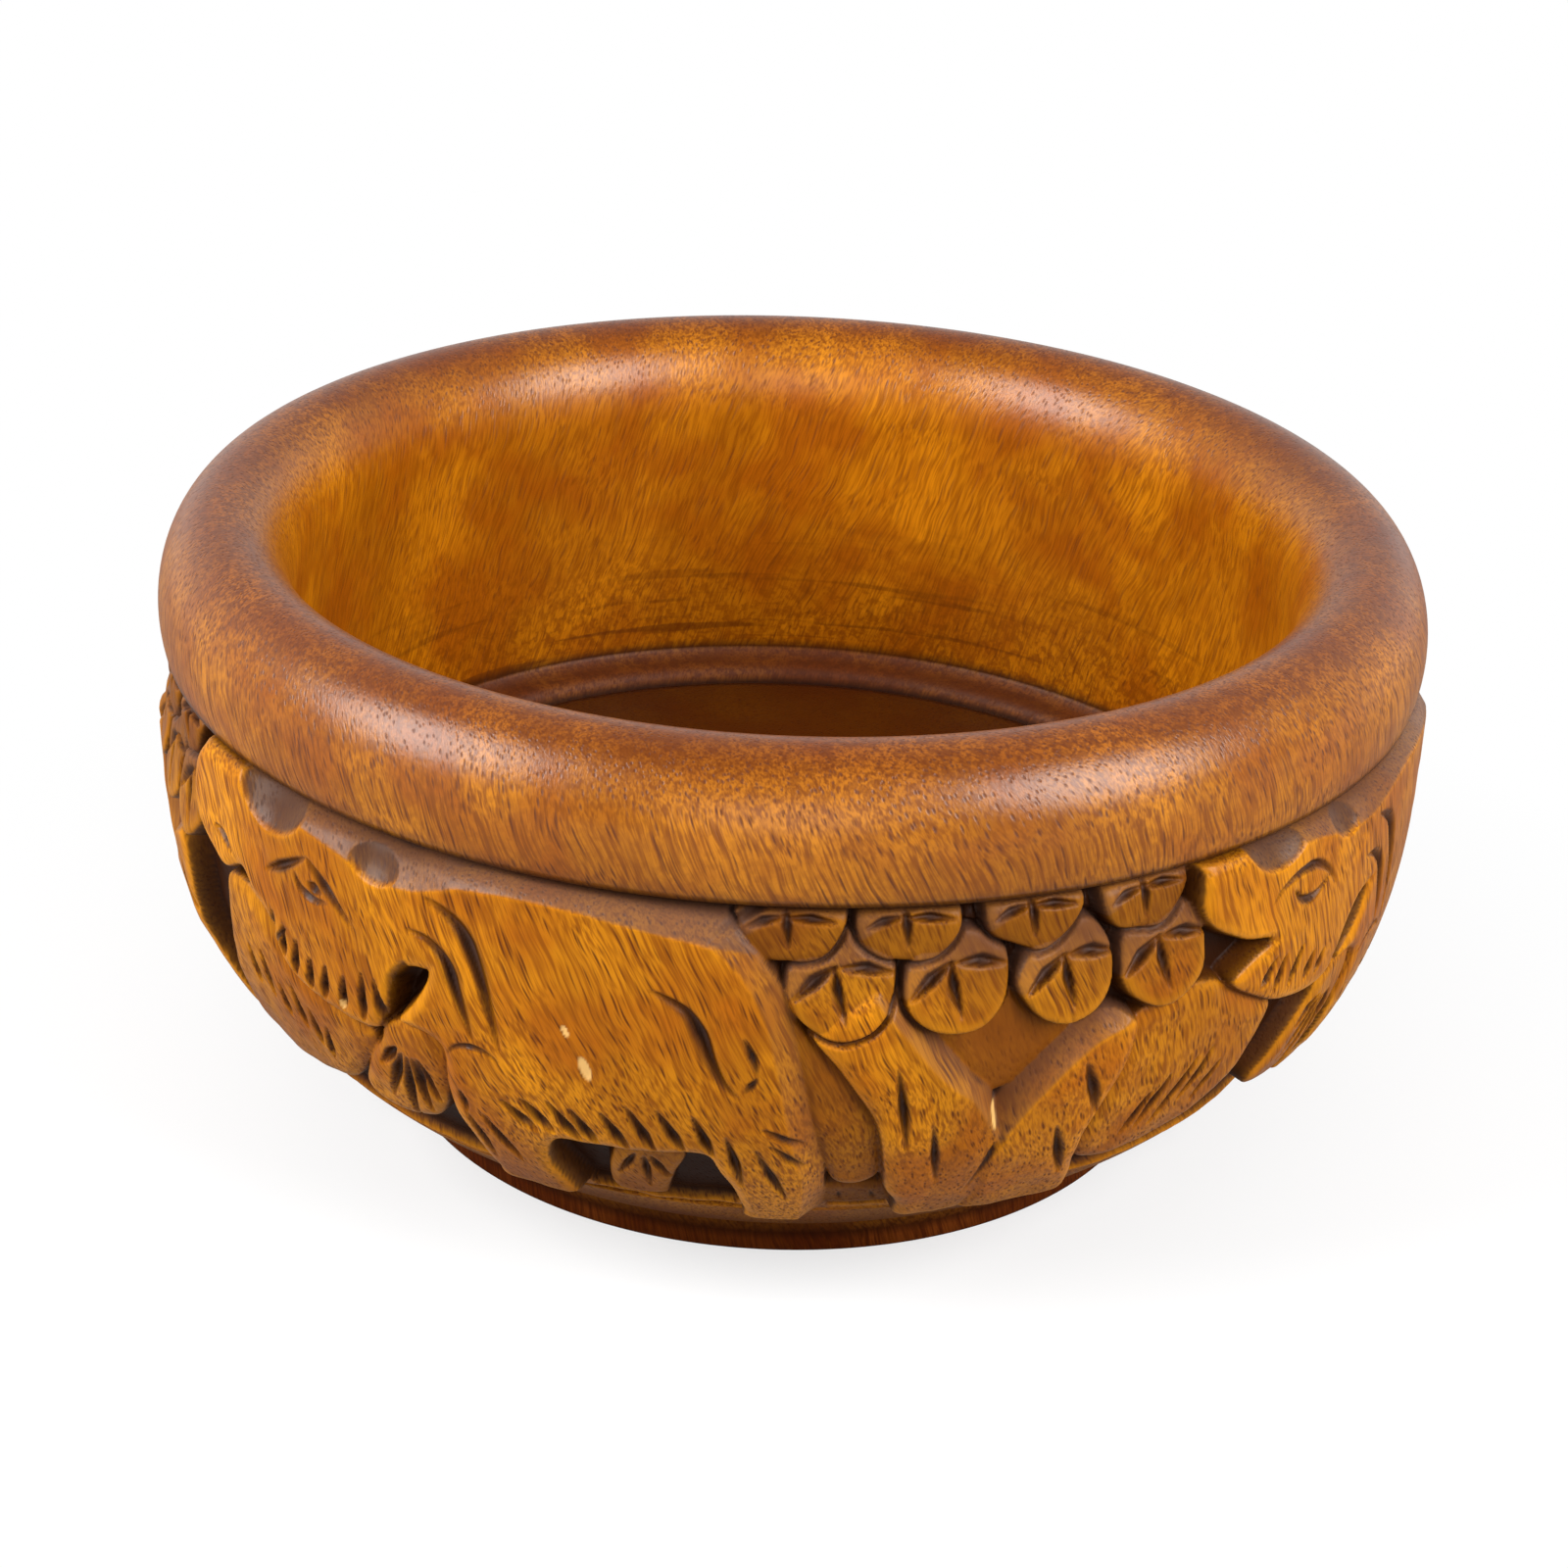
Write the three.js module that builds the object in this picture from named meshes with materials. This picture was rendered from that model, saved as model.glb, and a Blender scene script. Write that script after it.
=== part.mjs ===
// A thick turned wooden salad bowl: a fat rolled rim, a plain inner wall, a let-in floor disc,
// and a frieze of standing animals and trees carved round the outside, on a small turned foot.
import * as THREE from 'three';

// Driving dimensions, in millimetres. The foot stands on z = 0 and the bowl turns about Z.
const BOWL_HEIGHT = 129;
const RIM_RADIUS = 130;
const ROLL_WIDTH = 27;
const ROLL_HEIGHT = 38;
const BAND_PROUD = 1.6; // how far the carved band stands out beyond the rim
const SHOULDER_DROP = 5.5; // from the groove under the rim down to the widest place
const FOOT_RADIUS = 82.5;
const FOOT_HEIGHT = 4.4;
const FOOT_STEP = 3.7; // the turned curve of the belly ends this far outside the foot
const WALL_FLARE = 3; // the inner wall widens by this from the rim down to the ledge
const BASE_THICKNESS = 43; // underside of the foot to the floor that the food lies on
const LEDGE_RISE = 6.3; // floor to the fine line at the foot of the wall
const LEDGE_WIDTH = 7.6; // wall to the edge of the floor disc
const DISC_THICKNESS = 8;
const DISC_CHAMFER = 0.6;
const FIT_GAP = 0.3; // all round the floor disc and under it

// The carving, cut in from the turned outside. Its outlines are drawn on a strip
// DRAWN_LENGTH high, and one repeat of the strip is DRAWN_DEGREES wide.
const REPEATS = 4;
const CARVED_LENGTH = 80; // along the surface, from the groove down
const CARVED_DEPTH = 6.2;
const LOWER_BODY_DEPTH = 4; // the plain surface under the feet lies this far in
const DRAWN_LENGTH = 80;
const DRAWN_DEGREES = 90;
const FEET_ROUNDING = 4; // the feet round in to the plain surface over this, in the drawing

// Shapes of the turned curves, as plain numbers.
const GROOVE_ANGLE = THREE.MathUtils.degToRad(22.3); // below the middle of the roll
const SHOULDER_POWER = 2.5;
const BELLY_POWER = 3.24;

// How finely the surfaces are divided.
const PLAIN_SIDES = 96;
const CARVED_SIDES = 192;
const CARVED_ROWS = 21;
const ROLL_OUTER_STEPS = 7; // from the groove to the top of the roll
const ROLL_INNER_STEPS = 5; // from the top to the mouth
const PROFILE_STEPS = 400;

const ROLL_RADIUS = RIM_RADIUS - ROLL_WIDTH / 2;
const ROLL_HALF_WIDTH = ROLL_WIDTH / 2;
const ROLL_HALF_HEIGHT = ROLL_HEIGHT / 2;
const ROLL_Z = BOWL_HEIGHT - ROLL_HALF_HEIGHT;
const GROOVE_RADIUS = ROLL_RADIUS + ROLL_HALF_WIDTH * Math.cos(GROOVE_ANGLE);
const GROOVE_Z = ROLL_Z - ROLL_HALF_HEIGHT * Math.sin(GROOVE_ANGLE);
const BAND_RADIUS = RIM_RADIUS + BAND_PROUD;
const SHOULDER_Z = GROOVE_Z - SHOULDER_DROP;
const BELLY_END_RADIUS = FOOT_RADIUS + FOOT_STEP;
const MOUTH_RADIUS = RIM_RADIUS - ROLL_WIDTH;
const WALL_RADIUS = MOUTH_RADIUS + WALL_FLARE;
const RECESS_RADIUS = WALL_RADIUS - LEDGE_WIDTH + FIT_GAP;
const RECESS_Z = BASE_THICKNESS - DISC_THICKNESS;
const DISC_RADIUS = RECESS_RADIUS - FIT_GAP;

// Outlines of the raised forms, in degrees round the bowl and millimetres below the groove.
const LONG_HEAD = [
  [-57, -6], [-58.6, 3], [-60.5, 12], [-59.3, 21.2], [-55.8, 25.6], [-52, 22.8], [-48, 29.8],
  [-45.8, 39.3], [-41, 43], [-35.5, 43.1], [-33.4, 34], [-31.3, 26.1], [-26, 23.8], [-26, -6],
];
const SHORT_HEAD = [
  [-54, -6], [-54, 8.7], [-51.9, 16], [-45, 23.1], [-49.3, 28.8], [-46, 34.9], [-40.5, 39.8],
  [-34.5, 39.8], [-33, 30.9], [-30.5, 25.5], [-26, 23.8], [-26, -6],
];
const TORSO = [
  [-31, -6], [-31, 12], [-29.2, 25.3], [-32.6, 38.8], [-28.3, 42.8], [-28.6, 52.3], [-27.5, 64.8],
  [-25.8, 76.1], [-24, 79.4], [-20.5, 79.7], [-18.8, 77.8], [-19.9, 67.3], [-18.3, 58.4], [-12.5, 57.8],
  [-6.8, 56.3], [-4.3, 61.3], [-2.2, 73.1], [0.8, 79], [3.3, 79], [4.6, 76.9], [4.9, 71.5], [4.2, 56.9],
  [2.7, 41.8], [1.6, 25.8], [0.2, 17.6], [-2.9, 8.2], [-4.6, 3], [-6.5, -6],
];
const FRONT_PAW = [
  [-34.5, 41.8], [-32, 38.4], [-29.5, 38.2], [-28.5, 41.8], [-28.8, 51.3], [-29.5, 58.7], [-32, 65.7],
  [-37, 69], [-40, 65.7], [-38.5, 58.7], [-36.2, 50.4],
];
const LONG_HEAD_LEG = [
  [-56, 28.8], [-53, 27.3], [-50, 29.8], [-47.5, 34.9], [-46, 39.8], [-38, 44.7], [-36.3, 46.6],
  [-38.8, 56.9], [-43, 67.3], [-47, 71.5], [-53, 73.8], [-58, 72.3], [-60, 65.7], [-58, 45.7],
];
const SHORT_HEAD_LEG = [
  [-59.3, 30.3], [-55, 27.3], [-51, 27.8], [-46, 35.4], [-42.5, 42.8], [-43.5, 50.4], [-47.5, 64],
  [-51, 68.2], [-56, 70.6], [-60.5, 69], [-61.8, 62.2], [-60, 38.8],
];
const HIND_PAW = [
  [-13.5, 57.8], [-8, 56.9], [-7.3, 60.4], [-8.5, 67.3], [-9.3, 74.6], [-10, 78.4], [-14, 79.6],
  [-15, 76.1], [-14.8, 69], [-14, 62.2],
];
const STEM = [
  [0.5, 17.6], [2.5, 26.8], [5, 33.9], [7.5, 42.8], [8.7, 48.5], [9.4, 56.9], [9.8, 65.7], [8, 68.6],
  [5.5, 66.5], [4.6, 60.4], [3.4, 49.5], [2.2, 37.9], [1.2, 25.8],
];
const TRUNK_LEFT = [
  [9.5, 19.7], [12, 25.8], [14.2, 32.9], [16.5, 39.8], [18, 42.8], [18.9, 51.3], [19.6, 60.4],
  [20.5, 72.3], [20, 80], [14, 79.2], [11.7, 73.8], [10.3, 67.3], [9.7, 58.7], [8.8, 48.5], [7.6, 42.3],
  [5.2, 33.4], [3, 26.8], [6, 23.8],
];
const TRUNK_RIGHT = [
  [18.9, 51.3], [19.7, 45.7], [21.5, 39.8], [23.5, 34.4], [26, 30.3], [28.5, 28.6], [30.8, 31.4],
  [30.6, 38.8], [29, 48.5], [28, 56.9], [28.2, 65.7], [29, 72.3], [29.5, 77.6], [26, 80], [20, 80],
  [20.3, 72.3], [19.5, 61.3],
];
const UNDER_STEM = [
  [4.6, 69.8], [10.4, 69.8], [11.6, 73.8], [13.4, 79.2], [8, 80], [4.4, 78.4],
];
const CROWN_HOLLOW = [
  [10, 20.7], [25, 20.7], [24.5, 32.9], [18.6, 44.2], [14.5, 33.9],
];
const UPPER_LEAVES = [[0.8, 2.2], [10.3, 2.2], [20.8, 2], [31, 2.3]];
const LOWER_LEAVES = [[5, 16.5], [14.3, 16.5], [24, 17.6], [33, 18.1]];
const LEAF_RADIUS = 10.6;

// Crest lines, above which a form falls away by its slope: the animal's back and the trunks' fork.
const BACK_LINE = [[-34, 12], [-28.5, 8.5], [-26, 6.3], [-21, 5.2], [-16, 5.6], [-7, 8.3], [2, 14]];
const FORK_LEFT = [[7.5, 19], [12.6, 34.4], [16.2, 42.5], [17.6, 47.6], [18.2, 56]];
const FORK_RIGHT = [[20.2, 53], [23.2, 42], [27.2, 33.4], [31.5, 29.5]];

// Scoops in the top of the head, as middle, half width in degrees, height and depth.
const LONG_HEAD_SCOOPS = [[-46.8, -1, 5, 11.5, 4.4], [-34.3, -1, 4.2, 12, 4.4]];
const SHORT_HEAD_SCOOPS = [[-45.3, -1, 4.2, 9, 4], [-35, -1, 3.6, 10, 4]];
const SCOOP_POWER = 0.7; // under 1 the scoop is flatter in the middle and steeper at its edge

// Each form rises from the ground over its edge width to its own depth below the turned surface.
const ANIMAL = [
  { outline: TORSO, depth: 0.2, edge: 6, crest: BACK_LINE, slope: 0.7 },
  { outline: FRONT_PAW, depth: 1.6, edge: 5 },
  { outline: HIND_PAW, depth: 2.4, edge: 5 },
];
const FRONTS = [
  [{ outline: LONG_HEAD, depth: 0.2, edge: 6 }, { outline: LONG_HEAD_LEG, depth: 1.8, edge: 6 }],
  [{ outline: SHORT_HEAD, depth: 0.2, edge: 6 }, { outline: SHORT_HEAD_LEG, depth: 1.8, edge: 6 }],
];
const SCOOPS = [LONG_HEAD_SCOOPS, SHORT_HEAD_SCOOPS];
const TREE = [
  { outline: STEM, depth: 2.8, edge: 5 },
  { outline: UNDER_STEM, depth: 3.6, edge: 4 },
  { outline: CROWN_HOLLOW, depth: 4.5, edge: 4 },
  { outline: TRUNK_LEFT, depth: 0.5, edge: 6, crest: FORK_LEFT, slope: 0.42 },
  { outline: TRUNK_RIGHT, depth: 0.5, edge: 6, crest: FORK_RIGHT, slope: 0.55 },
];
const LEAF_ROWS = [
  { centres: UPPER_LEAVES, depth: 2.9, edge: 4, tilt: 0 },
  { centres: LOWER_LEAVES, depth: 2.1, edge: 4, tilt: -0.19 },
];
const NARROW_TREE = 0.78; // the trees before a long head are drawn together by this
const MM_PER_DEGREE = (BAND_RADIUS * Math.PI) / 180;

// Distance from a drawn point to an outline, positive inside it.
function insideDistance(degrees, drop, outline) {
  let nearest = Infinity;
  let inside = false;
  for (let i = 0, j = outline.length - 1; i < outline.length; j = i, i += 1) {
    const ax = (outline[j][0] - degrees) * MM_PER_DEGREE;
    const ay = outline[j][1] - drop;
    const bx = (outline[i][0] - degrees) * MM_PER_DEGREE;
    const by = outline[i][1] - drop;
    const length = Math.hypot(ax - bx, ay - by);
    const along = THREE.MathUtils.clamp((ax * (ax - bx) + ay * (ay - by)) / length ** 2, 0, 1);
    nearest = Math.min(nearest, Math.hypot(ax + along * (bx - ax), ay + along * (by - ay)));
    if (ay > 0 !== by > 0 && ax + ((bx - ax) * ay) / (ay - by) > 0) {
      inside = !inside;
    }
  }
  return inside ? nearest : -nearest;
}

// How far below a crest line's height a drawn point lies above it, or 0 under the line.
function aboveCrest(degrees, drop, crest) {
  for (let i = 1; i < crest.length; i += 1) {
    const [x0, y0] = crest[i - 1];
    const [x1, y1] = crest[i];
    if (degrees >= x0 && degrees <= x1) {
      return Math.max(0, THREE.MathUtils.lerp(y0, y1, (degrees - x0) / (x1 - x0)) - drop);
    }
  }
  return 0;
}

// How far a form lifts the carving at a distance inside its edge, from 0 to its full share.
function lift(distance, edge, depth) {
  const share = THREE.MathUtils.smoothstep(distance, -edge / 2, edge / 2);
  return share * (1 - Math.min(depth / CARVED_DEPTH, 1));
}

function liftOfForms(forms, degrees, drop) {
  let best = 0;
  for (const form of forms) {
    const fallen = form.crest ? form.slope * aboveCrest(degrees, drop, form.crest) : 0;
    const distance = insideDistance(degrees, drop, form.outline);
    best = Math.max(best, lift(distance, form.edge, form.depth + fallen));
  }
  return best;
}

function liftOfLeaves(degrees, drop) {
  let best = 0;
  for (const row of LEAF_ROWS) {
    for (const [x, y] of row.centres) {
      const reach = Math.hypot((degrees - x) * MM_PER_DEGREE, drop - y);
      best = Math.max(best, lift(LEAF_RADIUS - reach, row.edge, row.depth + row.tilt * (drop - y)));
    }
  }
  return best;
}

function scoopDepth(scoops, degrees, drop) {
  let deepest = 0;
  for (const [x, y, halfWidth, height, depth] of scoops) {
    const bowl = 1 - ((degrees - x) / halfWidth) ** 2 - ((drop - y) / height) ** 2;
    deepest = Math.max(deepest, depth * Math.max(0, bowl) ** SCOOP_POWER);
  }
  return deepest;
}

// Depth of the carving below the turned surface. The two heads take turns round the bowl, and the
// tree before each animal is fitted to the head that follows it.
function carvedDepth(turn, fall) {
  const drop = (fall * DRAWN_LENGTH) / CARVED_LENGTH;
  const repeat = Math.floor(turn * REPEATS);
  const degrees = (turn * REPEATS - repeat) * DRAWN_DEGREES;
  let best = 0;
  let scooped = 0;
  for (const [shift, kind] of [[-DRAWN_DEGREES, (repeat + 1) % 2], [0, repeat % 2]]) {
    const x = degrees + shift;
    const inTree = kind ? x / NARROW_TREE : x;
    best = Math.max(best, liftOfForms(ANIMAL, x, drop), liftOfForms(FRONTS[kind], x, drop));
    best = Math.max(best, liftOfForms(TREE, inTree, drop), liftOfLeaves(inTree, drop));
    scooped = Math.max(scooped, scoopDepth(SCOOPS[kind], x, drop));
  }
  const ground = Math.max(CARVED_DEPTH * (1 - best), scooped);
  const below = THREE.MathUtils.smoothstep(drop, DRAWN_LENGTH - FEET_ROUNDING, DRAWN_LENGTH);
  return THREE.MathUtils.lerp(ground, LOWER_BODY_DEPTH, below);
}

// The turned outside, from the groove down to the foot, as radius and height.
function outsideRadius(z) {
  if (z > SHOULDER_Z) {
    const share = (z - SHOULDER_Z) / SHOULDER_DROP;
    return BAND_RADIUS - (BAND_RADIUS - GROOVE_RADIUS) * share ** SHOULDER_POWER;
  }
  const share = (SHOULDER_Z - z) / (SHOULDER_Z - FOOT_HEIGHT);
  return BAND_RADIUS - (BAND_RADIUS - BELLY_END_RADIUS) * share ** BELLY_POWER;
}

function outsideLine() {
  const points = [];
  for (let i = 0; i <= PROFILE_STEPS; i += 1) {
    const z = THREE.MathUtils.lerp(GROOVE_Z, FOOT_HEIGHT, i / PROFILE_STEPS);
    points.push(new THREE.Vector2(outsideRadius(z), z));
  }
  const line = new THREE.SplineCurve(points);
  line.arcLengthDivisions = PROFILE_STEPS * 2;
  return line;
}

// A ring is a list of points round the axis, starting at the front and going towards +X.
function ring(sides, place) {
  const points = [];
  for (let i = 0; i < sides; i += 1) {
    const turn = i / sides;
    const { radius, z } = place(turn);
    points.push([radius * Math.sin(2 * Math.PI * turn), -radius * Math.cos(2 * Math.PI * turn), z]);
  }
  return points;
}

function plainRing(radius, z) {
  return ring(PLAIN_SIDES, () => ({ radius, z }));
}

// A ring on the outside at a fall along the surface, sunk square to it.
function outsideRing(line, fall, sides, depthAt) {
  const share = Math.min(fall / line.getLength(), 1);
  const point = line.getPointAt(share);
  const tangent = line.getTangentAt(share);
  return ring(sides, (turn) => {
    const depth = depthAt(turn, fall);
    return { radius: point.x + depth * tangent.y, z: point.y - depth * tangent.x };
  });
}

// Triangles between two rings of as many points, each face split along its shorter diagonal, so that
// the splits follow the edges of the carving. LEAST_GAIN keeps plain faces split one way.
const LEAST_GAIN = 0.98;
function joinAlike(a, b, startA, startB, indices) {
  const count = a.length;
  const span = (p, q) => Math.hypot(p[0] - q[0], p[1] - q[1], p[2] - q[2]);
  for (let i = 0; i < count; i += 1) {
    const next = (i + 1) % count;
    if (span(a[next], b[i]) < LEAST_GAIN * span(a[i], b[next])) {
      indices.push(startA + i, startA + next, startB + i, startA + next, startB + next, startB + i);
    } else {
      indices.push(startA + i, startA + next, startB + next, startA + i, startB + next, startB + i);
    }
  }
}

// Triangles between rings of different counts, or a ring and a single point, taken in turn.
function joinUnlike(a, b, startA, startB, indices) {
  const stepsA = a.length > 1 ? a.length : 0;
  const stepsB = b.length > 1 ? b.length : 0;
  const atA = (i) => startA + (i % a.length);
  const atB = (j) => startB + (j % b.length);
  let i = 0;
  let j = 0;
  while (i < stepsA || j < stepsB) {
    if (j >= stepsB || (i < stepsA && (i + 1) / a.length <= (j + 1) / b.length)) {
      indices.push(atA(i), atA(i + 1), atB(j));
      i += 1;
    } else {
      indices.push(atA(i), atB(j + 1), atB(j));
      j += 1;
    }
  }
}

// Joins rings, in order from the underside over the outside to the inside, into one closed mesh.
function closedMesh(rings) {
  const positions = [];
  const indices = [];
  let startA = 0;
  for (let k = 0; k < rings.length; k += 1) {
    for (const point of rings[k]) {
      positions.push(...point);
    }
    if (k + 1 < rings.length) {
      const join = rings[k].length === rings[k + 1].length ? joinAlike : joinUnlike;
      join(rings[k], rings[k + 1], startA, startA + rings[k].length, indices);
    }
    startA += rings[k].length;
  }
  const geometry = new THREE.BufferGeometry();
  geometry.setAttribute('position', new THREE.Float32BufferAttribute(positions, 3));
  geometry.setIndex(indices);
  geometry.computeVertexNormals();
  return geometry;
}

function footRings() {
  return [
    [[0, 0, 0]],
    plainRing(FOOT_RADIUS, 0),
    plainRing(FOOT_RADIUS, FOOT_HEIGHT),
  ];
}

function carvedRings(line) {
  const rings = [];
  const lowest = CARVED_LENGTH * (1 + 1 / (CARVED_ROWS - 1));
  for (const fall of [line.getLength(), (lowest + line.getLength()) / 2]) {
    rings.push(outsideRing(line, fall, PLAIN_SIDES, () => LOWER_BODY_DEPTH));
  }
  for (let row = CARVED_ROWS; row >= 1; row -= 1) {
    rings.push(outsideRing(line, (CARVED_LENGTH * row) / (CARVED_ROWS - 1), CARVED_SIDES, carvedDepth));
  }
  return rings;
}

// The rolled rim is a ring of elliptical section, from the groove over the top to the mouth.
function rollRings() {
  const at = (angle) => {
    const radius = ROLL_RADIUS + ROLL_HALF_WIDTH * Math.cos(angle);
    return plainRing(radius, ROLL_Z + ROLL_HALF_HEIGHT * Math.sin(angle));
  };
  const rings = [];
  for (let i = 0; i < ROLL_OUTER_STEPS; i += 1) {
    rings.push(at(THREE.MathUtils.lerp(-GROOVE_ANGLE, Math.PI / 2, i / ROLL_OUTER_STEPS)));
  }
  for (let i = 0; i <= ROLL_INNER_STEPS; i += 1) {
    rings.push(at(THREE.MathUtils.lerp(Math.PI / 2, Math.PI, i / ROLL_INNER_STEPS)));
  }
  return rings;
}

// The wall, its fine line, the rounded ledge, and the recess that takes the floor disc.
function insideRings() {
  const edge = WALL_RADIUS - RECESS_RADIUS;
  const nose = (across, up) => plainRing(RECESS_RADIUS + edge * across, BASE_THICKNESS + LEDGE_RISE * up);
  return [
    plainRing(MOUTH_RADIUS + WALL_FLARE / 2, (ROLL_Z + BASE_THICKNESS) / 2),
    nose(1, 1),
    nose(0.66, 0.62),
    nose(0.33, 0.5),
    nose(0.08, 0.33),
    plainRing(RECESS_RADIUS, BASE_THICKNESS),
    plainRing(RECESS_RADIUS, RECESS_Z),
    [[0, 0, RECESS_Z]],
  ];
}

function bowlBody() {
  const line = outsideLine();
  return closedMesh([...footRings(), ...carvedRings(line), ...rollRings(), ...insideRings()]);
}

function floorDisc() {
  const top = BASE_THICKNESS;
  const bottom = RECESS_Z + FIT_GAP;
  return closedMesh([
    [[0, 0, bottom]],
    plainRing(DISC_RADIUS - DISC_CHAMFER, bottom),
    plainRing(DISC_RADIUS, bottom + DISC_CHAMFER),
    plainRing(DISC_RADIUS, top - DISC_CHAMFER),
    plainRing(DISC_RADIUS - DISC_CHAMFER, top),
    [[0, 0, top]],
  ]);
}

function named(name, geometry, color, roughness) {
  const mesh = new THREE.Mesh(geometry, new THREE.MeshStandardMaterial({ color, roughness, metalness: 0 }));
  mesh.name = name;
  return mesh;
}

const bowl = new THREE.Group();
bowl.add(named('bowl_body', bowlBody(), '#a9661c', 0.42));
bowl.add(named('floor_disc', floorDisc(), '#5a2a0a', 0.4));

export default bowl;
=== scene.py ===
"""A thick turned wooden salad bowl with a carved frieze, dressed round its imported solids."""

import math

import bpy
import numpy as np
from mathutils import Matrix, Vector


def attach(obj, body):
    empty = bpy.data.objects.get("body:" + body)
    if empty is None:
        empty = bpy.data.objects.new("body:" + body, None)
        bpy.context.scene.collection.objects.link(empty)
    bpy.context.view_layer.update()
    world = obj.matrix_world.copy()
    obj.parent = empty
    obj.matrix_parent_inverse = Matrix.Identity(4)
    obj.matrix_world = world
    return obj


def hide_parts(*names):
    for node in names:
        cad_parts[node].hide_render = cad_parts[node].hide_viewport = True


bl_info = {
    "name": "Carved Wooden Salad Bowl",
    "version": (1, 0, 0),
    "blender": (4, 5, 0),
    "location": "3D View > Sidebar > Bowl",
    "description": "Builds a turned salad bowl with a carved frieze, and a plain studio",
    "category": "Add Mesh",
}

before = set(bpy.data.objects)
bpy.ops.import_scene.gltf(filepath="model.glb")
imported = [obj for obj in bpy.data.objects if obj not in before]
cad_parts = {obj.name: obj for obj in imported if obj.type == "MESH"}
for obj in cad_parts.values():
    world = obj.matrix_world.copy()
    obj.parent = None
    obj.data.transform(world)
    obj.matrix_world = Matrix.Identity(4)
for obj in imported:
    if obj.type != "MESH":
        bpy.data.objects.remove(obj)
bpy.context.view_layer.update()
BODY = "root"
MM = 0.001
REPEATS = 4
REPEAT_DEGREES = 360 / REPEATS


# Sizes and colours that a user would change.
class BowlSizes(bpy.types.PropertyGroup):
    height: bpy.props.FloatProperty(
        name="Height", description="Foot to the top of the rim", default=0.129, unit="LENGTH"
    )
    rim_radius: bpy.props.FloatProperty(
        name="Rim radius", description="Axis to the outside of the rolled rim",
        default=0.130, unit="LENGTH",
    )
    roll_width: bpy.props.FloatProperty(
        name="Roll width", description="Rolled rim, across", default=0.027, unit="LENGTH"
    )
    roll_height: bpy.props.FloatProperty(
        name="Roll height", description="Full height of the roll's oval section",
        default=0.038, unit="LENGTH",
    )
    groove_angle: bpy.props.FloatProperty(
        name="Groove angle",
        description="Where the groove meets the roll, below its middle",
        default=math.radians(22.3),
        subtype="ANGLE",
    )
    band_proud: bpy.props.FloatProperty(
        name="Band proud", description="Carved band beyond the rim", default=0.0016, unit="LENGTH"
    )
    shoulder_drop: bpy.props.FloatProperty(
        name="Shoulder drop", description="Groove down to the widest place",
        default=0.0055, unit="LENGTH",
    )
    foot_radius: bpy.props.FloatProperty(
        name="Foot radius", description="Axis to the outside of the foot",
        default=0.0825, unit="LENGTH",
    )
    foot_height: bpy.props.FloatProperty(
        name="Foot height", description="Straight part of the foot", default=0.0044, unit="LENGTH"
    )
    foot_step: bpy.props.FloatProperty(
        name="Foot step", description="How far outside the foot the belly's curve ends",
        default=0.0037, unit="LENGTH",
    )
    wall_flare: bpy.props.FloatProperty(
        name="Wall flare", description="How far the inner wall widens downwards",
        default=0.003, unit="LENGTH",
    )
    base_thickness: bpy.props.FloatProperty(
        name="Base thickness", description="Underside to the inner floor",
        default=0.043, unit="LENGTH",
    )
    ledge_rise: bpy.props.FloatProperty(
        name="Ledge rise", description="Floor to the foot of the wall",
        default=0.0063, unit="LENGTH",
    )
    ledge_width: bpy.props.FloatProperty(
        name="Ledge width", description="Foot of the wall to the floor disc",
        default=0.0076, unit="LENGTH",
    )
    disc_thickness: bpy.props.FloatProperty(
        name="Disc thickness", description="Let-in floor disc", default=0.008, unit="LENGTH"
    )
    fit_gap: bpy.props.FloatProperty(
        name="Fit gap", description="Gap round and under the floor disc",
        default=0.0003, unit="LENGTH",
    )


class CarvingSizes(bpy.types.PropertyGroup):
    length: bpy.props.FloatProperty(
        name="Band length", description="Groove to the end of the carving, along the surface",
        default=0.080, unit="LENGTH",
    )
    depth: bpy.props.FloatProperty(
        name="Ground depth", description="Deepest cleared ground", default=0.0062, unit="LENGTH"
    )
    skin: bpy.props.FloatProperty(
        name="Skin", description="Least depth of the carver's cleaning cut",
        default=0.00015, unit="LENGTH",
    )
    lower_body: bpy.props.FloatProperty(
        name="Lower body", description="Depth of the plain surface under the feet",
        default=0.004, unit="LENGTH",
    )
    columns: bpy.props.IntProperty(
        name="Columns", description="Points round the carved band", default=2048, min=96
    )
    rows: bpy.props.IntProperty(name="Rows", description="Points down the carved band", default=212, min=20)
    seed: bpy.props.IntProperty(name="Seed", description="Varies the knife's small marks", default=7)


def linear(code):
    """An sRGB hex colour as linear numbers."""
    parts = [int(code[i : i + 2], 16) / 255 for i in (1, 3, 5)]
    return [p / 12.92 if p <= 0.04045 else ((p + 0.055) / 1.055) ** 2.4 for p in parts]


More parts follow.
